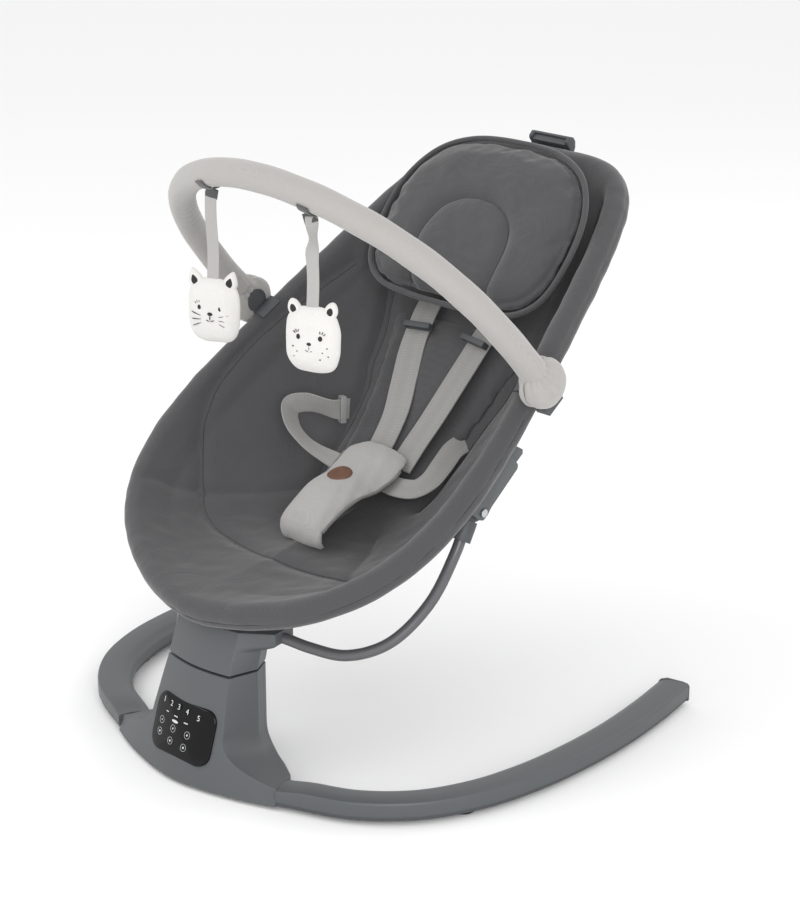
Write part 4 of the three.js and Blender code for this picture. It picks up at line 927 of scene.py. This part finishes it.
points = vertices_of(shell)
amount = smooth_noise(points, 60, 3) * 0.0005 + smooth_noise(points, 130, 4) * 0.00025
for path, narrow, wide in ((seams[0], 0.0016, 0.0034), (seams[1], 0.0026, 0.0070), (seams[2], 0.0026, 0.0070),
                           (folds[0], 0.0012, 0.0034), (folds[1], 0.0012, 0.0034),
                           (outer_seam, 0.0010, 0.0014), (band, 0.0006, 0.0018)):
    gap = distance_to(shell, path)
    amount -= narrow * np.exp(-(gap / 0.0024) ** 2) + wide * np.exp(-(gap / 0.0105) ** 2)
press(shell, amount)
round_foot = np.linspace(-0.25, 0.25, 260) % 1.0
outer_stitch = roll_point(round_foot, np.full(260, SEAM_ANGLE), ROLL - 2.2)
stitch_paths = [outer_stitch, laid(shell, lap_seam, 420, 0.0001), laid(shell, back_channel, 160, 0.0001),
                laid(shell, mirrored(back_channel), 160, 0.0001)]
for index, path in enumerate(stitch_paths):
    rides(thread_along(f"seat_seam_{index}", path, 0.00055, seam_thread_painted_shade), "seat", "seat_fabric")
wear(shell, seat_cloth)
rides(shell, "seat", "seat_fabric", "seat_cover")

# ------------------------------------------------------------------ back panel
# Flat padded insert of the same cloth, sewn in between the two side bolsters.


def inflate(pad, voxel, swell, pressure=4.0, held_below=None):
    """Stuffs a closed pad: even remesh, then a short cloth run under inner pressure."""
    settle(pad, ("REMESH", {"mode": "VOXEL", "voxel_size": voxel}))
    before = vertices_of(pad)
    cloth = pad.modifiers.new("stuffing", "CLOTH")
    cloth.settings.quality = 4
    cloth.settings.mass = 0.2
    cloth.settings.tension_stiffness = 18
    cloth.settings.compression_stiffness = 12
    cloth.settings.bending_stiffness = 0.6
    cloth.settings.use_pressure = True
    cloth.settings.uniform_pressure_force = pressure
    cloth.settings.effector_weights.gravity = 0
    cloth.point_cache.frame_start, cloth.point_cache.frame_end = 1, 20
    if held_below is not None:
        base = pad.vertex_groups.new(name="held")
        base.add([int(i) for i in np.nonzero(held_below(before))[0]], 1.0, "REPLACE")
        cloth.settings.vertex_group_mass = "held"
    for tick in range(1, 21):
        bpy.context.scene.frame_set(tick)
    alone(pad)
    bpy.ops.object.modifier_apply(modifier=cloth.name)
    bpy.context.scene.frame_set(1)
    move = vertices_of(pad) - before
    size = np.linalg.norm(move, axis=1, keepdims=True)
    kept = before + move * np.minimum(1, swell / np.maximum(size, 1e-9))
    pad.data.vertices.foreach_set("co", kept.ravel())
    pad.data.update()
    settle(pad, ("SMOOTH", {"factor": 0.5, "iterations": 3}),
           ("SUBSURF", {"levels": 1, "render_levels": 1}))
    alone(pad)
    bpy.ops.object.shade_smooth()
    return pad


def cushion(name, outline, crown_at, floor_at, edge_at, rings=14, sharp=2.2):
    """A closed pad over an outline of (along, x), between top and bottom height functions."""
    outline = spline(outline, 160, closed=True)
    centre = (outline.max(0) + outline.min(0)) / 2
    last = 2 * rings

    def surface(u, v):
        k = np.rint(u * 160).astype(int) % 160
        i = np.rint(v * last)
        share = np.sin(np.pi / 2 * (1 - np.abs(i / rings - 1)))
        flat = centre + (outline[k] - centre) * share[:, None]
        edge = edge_at(flat)
        swell = (1 - share**sharp) ** (1 / 2.0)
        top = edge + (crown_at(flat) - edge) * swell
        low = edge + (floor_at(flat) - edge) * swell
        height = np.where(i < rings, top, low)
        return seat_points(flat[:, 0], flat[:, 1], height)

    return skin(name, 160, last, surface)


panel_route = [(246, 0), (247, 48), (252, 68), (300, 77), (360, 86), (420, 98), (470, 106), (478, 98),
               (479, 50), (479, 0)]
panel_route += mirrored(panel_route[1:-1])[::-1]
insert = cushion("back_insert", panel_route, lambda f: on_seat(f, 9), lambda f: on_seat(f, -7),
                 lambda f: on_seat(f, -2))
inflate(insert, 0.004, 0.004, 2.0)
points = vertices_of(insert)
press(insert, smooth_noise(points, 90, 8) * 0.0005)
wear(insert, seat_cloth)
rides(insert, "seat", "seat_fabric", "back_panel")

# ------------------------------------------------------------------ head pillow
# Reversible head hugger: two stuffed layers joined in a piped edge, with a horseshoe
# channel sewn through it that leaves a shallow well for the head.

pillow_half = [(466, 0), (467, 60), (474, 108), (495, 134), (545, 145), (600, 138), (640, 112), (662, 70),
               (669, 0)]
pillow_route = pillow_half + mirrored(pillow_half[1:-1])[::-1]


def pillow_edge(flat):
    """Height of the pillow's seam: it lies on the seat low down and rises to the head end's rim."""
    return -15 + 60 * (flat[:, 0] - 466) / 203 + 5 * (flat[:, 1] / 145) ** 2


pillow = cushion("head_hugger", pillow_route, lambda f: pillow_edge(f) + 19, lambda f: pillow_edge(f) - 13,
                 pillow_edge, sharp=2.6)
inflate(pillow, 0.004, 0.007)
outline_pillow = spline(pillow_route, 300, closed=True)
hem = seat_points(outline_pillow[:, 0], outline_pillow[:, 1], pillow_edge(outline_pillow))
horseshoe_half = [(470, -57), (500, -63), (532, -65), (560, -54), (577, -30), (582, 0)]
horseshoe_route = horseshoe_half + mirrored(horseshoe_half[:-1])[::-1]
horseshoe = laid(pillow, horseshoe_route, 260)
inner_hem = laid(pillow, [(c[0] + (566 - c[0]) * 0.075, c[1] * 0.93) for c in pillow_route], 300, closed=True)
gap = distance_to(pillow, horseshoe)
amount = -0.0040 * np.exp(-(gap / 0.009) ** 2) - 0.0020 * np.exp(-(gap / 0.0030) ** 2)
gap = distance_to(pillow, inner_hem)
amount -= 0.0022 * np.exp(-(gap / 0.0035) ** 2)
points = vertices_of(pillow)
folds = np.abs(smooth_noise(points, 95, 12))
amount += smooth_noise(points, 70, 11) * 0.0007 - folds * 0.0005
press(pillow, amount)
wear(pillow, seat_cloth)
rides(pillow, "seat", "seat_fabric", "head_pillow")
stitched = laid(pillow, horseshoe_route, 260, 0.0002)
rides(thread_along("pillow_horseshoe_thread", stitched, 0.0005, seam_thread_painted_shade), "seat", "seat_fabric")
hem = np.vstack([hem, hem[:1]])
piping = sweep("pillow_piping", hem, 12, oval(0.0034, 0.0034), SEAT_UP)
wear(piping, seat_cloth)
rides(piping, "seat", "seat_fabric")

# ------------------------------------------------------------------ harness webbing
# Polyester webbing, woven with fine ribs and a thicker selvedge, looped through the back,
# moulded sliders and the buckle. Ribs are drawn twice as coarse as real ones, to show.

webbing = blank("light grey polyester webbing")
uv = node(webbing, "ShaderNodeTexCoord").outputs["UV"]
RIB, PICK = 0.0022, 0.0018
ribs = node(webbing, "ShaderNodeTexWave", {"Vector": uv, "Scale": math.pi / 10 / (2 * RIB)},
            bands_direction="X").outputs["Fac"]
picks = node(webbing, "ShaderNodeTexWave", {"Vector": uv, "Scale": math.pi / 10 / (2 * PICK)},
             bands_direction="Y").outputs["Fac"]
twill = node(webbing, "ShaderNodeMath", {0: ribs, 1: picks}, operation="MULTIPLY").outputs[0]
fuzz = node(webbing, "ShaderNodeTexNoise", {"Vector": uv, "Scale": 300.0, "Detail": 2.0}).outputs[0]
blendin = node(webbing, "ShaderNodeMath", {0: twill, 1: fuzz}, operation="ADD").outputs[0]
blendin = node(webbing, "ShaderNodeMath", {0: blendin, 1: 0.5}, operation="MULTIPLY").outputs[0]
tint = node(webbing, "ShaderNodeMix", {0: blendin, 6: linear("868583"), 7: linear("969593")},
            data_type="RGBA").outputs[2]
relief = node(webbing, "ShaderNodeBump", {"Height": twill, "Strength": 0.25, "Distance": 0.0002}).outputs[0]
coated(webbing, Base_Color=tint, Roughness=0.7, Normal=relief, Sheen_Weight=0.2)


def strap(name, route, width, leans=None, thickness=2.4):
    """A flat band through (along, x, up) millimetres, leaning by the given angles."""
    path = spline(route, 90)
    share = np.linspace(0, 1, len(path))
    path = seat_points(path[:, 0], path[:, 1], path[:, 2])
    tangent = unit(np.gradient(path, axis=0))
    across = unit(np.cross(tangent, SEAT_UP))
    normal = unit(np.cross(across, tangent))
    lean = np.interp(share, np.linspace(0, 1, len(route)), leans) if leans else np.zeros(len(path))
    upright = normal * np.cos(lean)[:, None] - across * np.sin(lean)[:, None]
    half, deep = width / 2 * MM, thickness / 2 * MM

    def section(a, v):
        bound = 1 + 0.25 * np.exp(-((np.abs(np.cos(a)) - 0.93) / 0.06) ** 2)
        return half * squared(np.cos(a), 0.3), deep * bound * squared(np.sin(a), 0.35)

    made = sweep(name, path, 32, section, upright)
    stretch_uv(made, width * MM * 2.1, np.linalg.norm(np.diff(path, axis=0), axis=1).sum())
    return wear(made, webbing)


def seat_surface(along, x):
    """Height of the seat's own surface at one place."""
    return float(on_seat(np.array([[along, x]], float), 0)[0])


BUCKLE_UP = -80.7
for side, sign in (("left", -1), ("right", 1)):
    low_x = -8 if sign < 0 else 34
    above = [(486, sign * 53, 53, 11), (468, sign * 50, 50, 15), (430, sign * 45, 45, 17),
             (385, 0.5 * (low_x + sign * 50), 30, 18), (345, low_x + sign * 6, 15, 18),
             (315, low_x + sign * 2, 15, 18)]
    route = [(along, x, seat_surface(along, rest) + lift) for along, x, rest, lift in above]
    route.append((282, low_x, BUCKLE_UP - 6))
    rides(strap(f"shoulder_band_{side}", route, 34), "seat", "webbing", f"shoulder_strap_{side}")
    refined(f"shoulder_slider_{side}", f"shoulder_adjuster_{side}", 0.0006, dark_abs)
left_waist = [(330, -78, -74), (318, -86, -64), (308, -116, -50), (296, -132, -48), (276, -116, -52),
              (262, -82, -60), (260, -27, BUCKLE_UP)]
rides(strap("waist_band_left", left_waist, 25, [1.3, 1.3, 1.2, 1.1, 0.9, 0.5, 0.1]), "seat", "webbing",
      "waist_strap_left")
right_waist = [(350, 80, -100), (330, 79, -92), (304, 83, -88), (280, 84, -86), (264, 76, -84),
               (258, 56, -83), (260, 28, -84)]
rides(strap("waist_band_right", right_waist, 25, [0.5, 0.5, 0.5, 0.3, 0.1, 0, 0]), "seat", "webbing",
      "waist_strap_right")
light_abs = moulded("satin light grey acetal", "8f9090", 0.4)
refined("waist_slider_left", "waist_adjuster_left", 0.0007, light_abs)

# ------------------------------------------------------------------ crotch pad
# Pale polyester pouch over foam, bound along its edges, folded over the buckle; a plain
# leather patch is riveted to it.

pale_cloth = woven("pale grey polyester", "a09e9c", sheen=0.3, fold=0.5)
pad_line = spline([(150, 2, -70), (149, 2, -60), (155, 2, -50), (172, 2, -44), (198, 2, -45), (220, 2, -52),
                   (240, 2, -61), (262, 3, -67), (280, 4, -69), (297, 4, -75)], 80)
pad_path = seat_points(pad_line[:, 0], pad_line[:, 1], pad_line[:, 2])
pad_share = np.linspace(0, 1, 80)
pad_half = np.interp(pad_share, [0, 0.15, 0.35, 0.6, 0.8, 0.93, 1], [33, 34, 37, 42, 47, 46, 38]) * MM
pad_thick = np.interp(pad_share, [0, 0.1, 0.85, 1], [4, 6.5, 6, 3.5]) * MM


def pad_section(a, v):
    """A flat oval whose sides droop, more so away from the foot end."""
    i = np.rint(v * 79).astype(int)
    side = squared(np.cos(a), 0.55)
    bend = -0.18 * pad_half[i] * side**2 * np.clip(v / 0.25, 0, 1) ** 2
    return pad_half[i] * side, pad_thick[i] * squared(np.sin(a), 0.8) + bend


pad = sweep("crotch_pouch", pad_path, 48, pad_section, SEAT_UP)
inflate(pad, 0.003, 0.003, 1.5)
tangent = unit(np.gradient(pad_path, axis=0))
points = vertices_of(pad)
pad_edges = []
amount = np.zeros(len(points))
for sign in (1, -1):
    rim = []
    for centre, way in zip(pad_path[10:-4:3], tangent[10:-4:3]):
        near = points[np.abs((points - centre) @ way) < 0.003]
        near = near[np.linalg.norm(near[:, 1:] - centre[1:], axis=1) < 0.02]
        rim.append(near[np.argmax(near[:, 0] * sign)])
    rim = spline(rim[::2], 120)
    pad_edges.append(rim)
    inset = rim * (0.84, 1, 1)
    amount -= 0.0012 * np.exp(-(distance_to(pad, inset) / 0.007) ** 2)
press(pad, amount + smooth_noise(vertices_of(pad), 150, 21) * 0.0006)
wear(pad, pale_cloth)
rides(pad, "seat", "pale_fabric", "crotch_pad")
binding = woven("mid grey binding tape", "6b6a69", fold=0.1)
for index, rim in enumerate(pad_edges):
    bound = sweep(f"pouch_binding_{index}", rim, 10, oval(0.0022, 0.0016), SEAT_UP)
    wear(bound, binding)
    rides(bound, "seat", "pale_fabric")

leather = blank("brown full grain leather")
where = node(leather, "ShaderNodeTexCoord").outputs["Object"]
pores = node(leather, "ShaderNodeTexVoronoi", {"Vector": where, "Scale": 900.0}).outputs["Distance"]
cloud = node(leather, "ShaderNodeTexNoise", {"Vector": where, "Scale": 120.0, "Detail": 3.0}).outputs[0]
tint = node(leather, "ShaderNodeMix", {0: cloud, 6: linear("4a2f20"), 7: linear("75503a")},
            data_type="RGBA").outputs[2]
relief = node(leather, "ShaderNodeBump", {"Height": pores, "Strength": 0.4, "Distance": 0.0003}).outputs[0]
coated(leather, Base_Color=tint, Roughness=0.55, Normal=relief)


def patch_surface(u, v):
    """A domed oval lying on the pad."""
    a, share = 2 * np.pi * u, np.minimum(1, v / 0.7)
    along, x = 234 + 12.5 * np.sin(a) * share, 15.5 * np.cos(a) * share
    height = heights_on(pad, along, x)
    return seat_points(along, x, height + np.where(v > 0.7, -0.8, 1.3 - 0.5 * share**6))


patch = skin("leather_patch", 40, 10, patch_surface)
wear(patch, leather)
rides(patch, "seat", "leather", "crotch_badge")

# ------------------------------------------------------------------ toy bar
# Soft tube over a bent core: pale knitted jersey drawn on like a sleeve, gathered into a
# stuffed pod at each end, where a moulded clip holds it to the rim.

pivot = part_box("bar_hub_right")
pivot = np.array([0, (pivot[0].y + pivot[1].y) / 2, (pivot[0].z + pivot[1].z) / 2])
BAR_SPAN, BAR_RISE, BAR_TILT, BAR_RADIUS = 231.5, 295, math.radians(42), 15.5


def bar_point(angle):
    """Point on the bar's centre line, from its right pivot at 0 to its left one at half a turn."""
    rise = BAR_RISE * np.abs(np.sin(angle)) ** 0.674
    x = BAR_SPAN * np.sign(np.cos(angle)) * np.abs(np.cos(angle)) ** 1.066
    return np.stack([x * MM, pivot[1] - rise * math.sin(BAR_TILT) * MM,
                     pivot[2] + rise * math.cos(BAR_TILT) * MM], -1)


jersey = woven("pale grey cotton jersey", "a5a29f", sheen=0.35, fold=0.25, thread=0.0004)
bar_line = spline(bar_point(np.linspace(0, np.pi, 65)), 1201)
bar_run = np.r_[0, np.cumsum(np.linalg.norm(np.diff(bar_line, axis=0), axis=1))]
keep = (bar_run > 0.020) & (bar_run < bar_run[-1] - 0.020)
bar_path = bar_line[keep][::3]
bar_from_end = np.minimum(bar_run, bar_run[-1] - bar_run)[keep][::3]


def sleeve_section(a, v):
    """Round, gathered near the pods, and folded on the inside of the tight bend."""
    i = np.rint(v * (len(bar_path) - 1)).astype(int)
    near = np.exp(-((bar_from_end[i] - 0.026) / 0.018) ** 2)
    radius = BAR_RADIUS * MM + 0.0007 * near * np.sin(13 * a)
    inward = np.clip(-np.sin(a), 0, 1) ** 2
    bent = np.exp(-((bar_from_end[i] - 0.21) / 0.075) ** 2)
    radius = radius - 0.0010 * inward * bent * np.abs(np.sin(bar_from_end[i] * 2 * np.pi / 0.024)) ** 2
    radius = radius + 0.0003 * np.sin(bar_from_end[i] * 95 + 2 * np.sin(a)) * np.cos(a * 2)
    return radius * np.cos(a), radius * np.sin(a)


bar_centre = np.array([0, bar_path[:, 1].mean(), bar_path[:, 2].mean()])
sleeve = sweep("toy_bar_cover", bar_path, 40, sleeve_section, unit(bar_path - bar_centre))
wear(sleeve, jersey)
rides(sleeve, "toy_bar", "pale_fabric", "toy_bar_sleeve")

pod_steps = np.array([(218, 12), (219, 22), (222, 27), (225, 28), (228, 27.2), (229, 26.3), (230, 27.4),
                      (236, 28), (242, 26), (246, 22), (248.5, 16), (249.5, 8), (249.8, 0)])
pod_fine = spline(pod_steps, 61)
for side, sign in (("right", 1), ("left", -1)):

    def pod_surface(u, v):
        x, radius = pod_fine[np.rint(v * 60).astype(int)].T * MM
        a = 2 * np.pi * u
        return np.stack([sign * x, pivot[1] + radius * np.cos(a), pivot[2] + radius * np.sin(a)], -1)

    pod = skin(f"bar_pod_{side}", 96, 60, pod_surface)
    points = vertices_of(pod)
    mouth = np.array([sign * 0.2325, *(bar_path[np.argmax(bar_path[:, 0] * sign), 1:])])
    offset = points - mouth
    way = unit(bar_line[60] * (sign, 1, 1) - bar_line[20] * (sign, 1, 1))
    side_way = np.array([1.0, 0, 0])
    other = np.cross(way, side_way)
    turn = np.arctan2(offset @ side_way, offset @ other)
    far = np.linalg.norm(offset, axis=1)
    ridge = np.sin(turn * 15) * np.exp(-((far - 0.014) / 0.013) ** 2)
    press(pod, 0.0008 * ridge + smooth_noise(points, 170, 31) * 0.0005)
    wear(pod, jersey)
    rides(pod, "toy_bar", "pale_fabric", f"bar_hub_{side}")
    hoop_turn = np.linspace(0, 2 * np.pi, 97)
    hoop = np.stack([np.full(97, sign * 0.2290), pivot[1] + 0.0265 * np.cos(hoop_turn),
                     pivot[2] + 0.0265 * np.sin(hoop_turn)], -1)
    seam = thread_along(f"pod_seam_{side}", hoop, 0.0005, binding)
    rides(seam, "toy_bar", "pale_fabric")

# ------------------------------------------------------------------ hanging toys
# Two flat plush faces, a cat and a bear, stuffed and printed, each on a satin ribbon sewn to
# a tab that hugs the underside of the bar.

plush = woven("white short pile plush", "d6d4d1", sheen=0.4, fold=0.12, thread=0.0003)
print_black = moulded("black fabric print", "19191b", 0.75)
ribbon_cloth = woven("light grey satin ribbon", "a7a5a3", sheen=0.3, fold=0.1, thread=0.0003)
tab_cloth = woven("dark grey tab tape", "4b4b4c", fold=0.1)
TOY_HALF, TOY_TALL, TOY_THICK, RIBBON, TWIST = 31, 36, 11, 101, 0.38
RIBBON_HALF = 0.007


def blob(name, surface, across, along, material, body):
    """One closed piece of a toy, worn and riding with it."""
    made = skin(name, across, along, surface)
    wear(made, material)
    return rides(made, body, "plush")


for body, sign in (("bear", 1), ("cat", -1)):
    hang = np.array([sign * 0.078, -0.16224, 0.64137])
    right_way = np.array([math.cos(TWIST), math.sin(TWIST), 0.0])
    front_way = np.array([math.sin(TWIST), -math.cos(TWIST), 0.0])
    up_way = np.array([0.0, 0.0, 1.0])
    centre = hang - up_way * (BAR_RADIUS + RIBBON + TOY_TALL) * MM

    def toy_at(x, y, out):
        x, y, out = np.broadcast_arrays(np.asarray(x, float), y, out)
        return centre + (x[..., None] * right_way + y[..., None] * up_way + out[..., None] * front_way) * MM

    def face_surface(u, v):
        a, share = 2 * np.pi * u, np.sin(np.pi * v)
        x = squared(np.cos(a), 0.62) * TOY_HALF
        y = squared(np.sin(a), 0.64) * TOY_TALL
        share = np.abs(share) ** 0.62
        return toy_at(x * share, y * share, TOY_THICK * np.cos(np.pi * v) * (1 - 0.18 * share**4))

    def face_out(x, y):
        """How far the printed face stands out at x and y."""
        r = (abs(x / TOY_HALF) ** 2.7 + abs(y / TOY_TALL) ** 2.6) ** (1 / 2.65)
        return TOY_THICK * math.sqrt(max(0.0, 1 - min(r, 0.995) ** 3.2)) * 0.98

    face = blob(f"{body}_face", face_surface, 72, 48, plush, body)
    press(face, smooth_noise(vertices_of(face), 140, 41 + sign) * 0.0006)
    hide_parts(f"toy_{body}")
    for ear_sign in (1, -1):
        ear_layers = (("ear", 1.0, 4.2, plush), ("ear_lining", 0.62, 4.0, print_black))
        for layer, scale, depth, material in ear_layers:
            tip = 13 if body == "cat" else 10
            wide = 8.5 if body == "cat" else 7.5
            lean = 0.30 * ear_sign

            def ear_surface(u, v):
                a = 2 * np.pi * u
                s = np.sin(np.pi * v) ** 0.6
                taper = 1 - (0.55 if body == "cat" else 0.2) * np.clip(np.sin(a), 0, 1) ** 1.2
                x = np.cos(a) * wide * taper * s * scale
                y = np.sin(a) * tip * s * scale
                x, y = x * math.cos(lean) + y * math.sin(lean), -x * math.sin(lean) + y * math.cos(lean)
                out = depth * np.cos(np.pi * v) + (0.9 if layer == "ear_lining" else 0)
                return toy_at(x + ear_sign * 21, y + TOY_TALL - 3, out)

            blob(f"{body}_{layer}_{'right' if ear_sign > 0 else 'left'}", ear_surface, 28, 16, material, body)

    def spot(name, x, y, wide, tall, turn=0.0):
        """A printed mark, following the plush face."""

        def mark_surface(u, v):
            a, s = 2 * np.pi * u, np.minimum(1, v / 0.8)
            dx, dy = np.cos(a) * wide * s, np.sin(a) * tall * s
            dx, dy = dx * math.cos(turn) - dy * math.sin(turn), dx * math.sin(turn) + dy * math.cos(turn)
            out = np.array([face_out(x + p, y + q) for p, q in zip(dx, dy)])
            return toy_at(x + dx, y + dy, out + np.where(v > 0.8, -0.6, 0.75))

        blob(name, mark_surface, 20, 5, print_black, body)

    for eye_sign in (1, -1):
        label = "right" if eye_sign > 0 else "left"
        spot(f"{body}_eye_{label}", eye_sign * 12.5, 5, 2.6, 3.3)
        for k in range(3):
            angle = math.radians(40 + 28 * k) if eye_sign > 0 else math.radians(140 - 28 * k)
            spot(f"{body}_lash_{label}_{k}", eye_sign * 13 + 5.4 * math.cos(angle), 6 + 5.6 * math.sin(angle),
                 1.9, 0.42, angle)
    spot(f"{body}_nose", 0, -2, 3.4, 2.3)
    spot(f"{body}_mouth_bar", 0, -6.5, 0.45, 2.8)
    for smile in (1, -1):
        spot(f"{body}_mouth_{'right' if smile > 0 else 'left'}", smile * 2.6, -9.6, 2.6, 0.45, smile * 0.35)
    if body == "cat":
        whiskers = [(cheek, y, cheek * tilt) for cheek in (1, -1)
                    for y, tilt in ((-3, 0.22), (-9, -0.1), (-15, -0.42))]
        for k, (cheek, y, tilt) in enumerate(whiskers):
            spot(f"cat_whisker_{k}", cheek * 16.5, y, 7.5, 0.42, tilt)
    else:
        freckles = ((15, -10), (20, -5), (21, -14), (12, -18), (-14, -11), (-19, -6), (-18, -17))
        for k, (x, y) in enumerate(freckles):
            spot(f"bear_freckle_{k}", x, y, 0.95, 0.95)

    strip = np.linspace(0, 1, 61)
    top, bottom = hang - up_way * (BAR_RADIUS + 5) * MM, centre + up_way * (TOY_TALL - 3) * MM
    line = top + (bottom - top) * strip[:, None]
    spin = TWIST + (1.3 * np.exp(-((strip - 0.22) / 0.16) ** 2) if body == "bear" else 0 * strip)
    facing_ribbon = np.stack([np.sin(spin), -np.cos(spin), 0 * spin], -1)
    line = line + facing_ribbon * (0.0016 * np.sin(strip * 7))[:, None]
    ribbon = sweep(f"{body}_ribbon", line, 16, oval(RIBBON_HALF, 0.0006, 0.4), facing_ribbon)
    wear(ribbon, ribbon_cloth)
    rides(ribbon, body, "pale_fabric")
    bar_near = bar_line[np.argmin(np.abs(bar_line[:, 0] - hang[0]))]
    tangent_here = unit(np.gradient(bar_line, axis=0))[np.argmin(np.abs(bar_line[:, 0] - hang[0]))]
    cross_way = unit(np.cross(tangent_here, up_way))
    below = unit(np.cross(cross_way, tangent_here))
    sweep_turn = np.linspace(-1.15, 1.15, 41)
    radius = (BAR_RADIUS + 1.7) * MM
    hug = bar_near + (cross_way * np.sin(sweep_turn)[:, None] - below * np.cos(sweep_turn)[:, None]) * radius
    out_way = unit(hug - bar_near)
    tab = sweep(f"{body}_tab", hug, 12, oval(RIBBON_HALF + 0.0005, 0.0008, 0.4), out_way)
    wear(tab, tab_cloth)
    rides(tab, body, "webbing")
    tongue = np.linspace(0, 1, 12)[:, None]
    tongue = bar_near - below * radius * 0.99 + (top - up_way * 0.007 - (bar_near - below * radius)) * tongue
    flap = sweep(f"{body}_tab_tongue", tongue, 12, oval(RIBBON_HALF + 0.0006, 0.0013, 0.4), facing_ribbon[0])
    wear(flap, tab_cloth)
    rides(flap, body, "webbing")
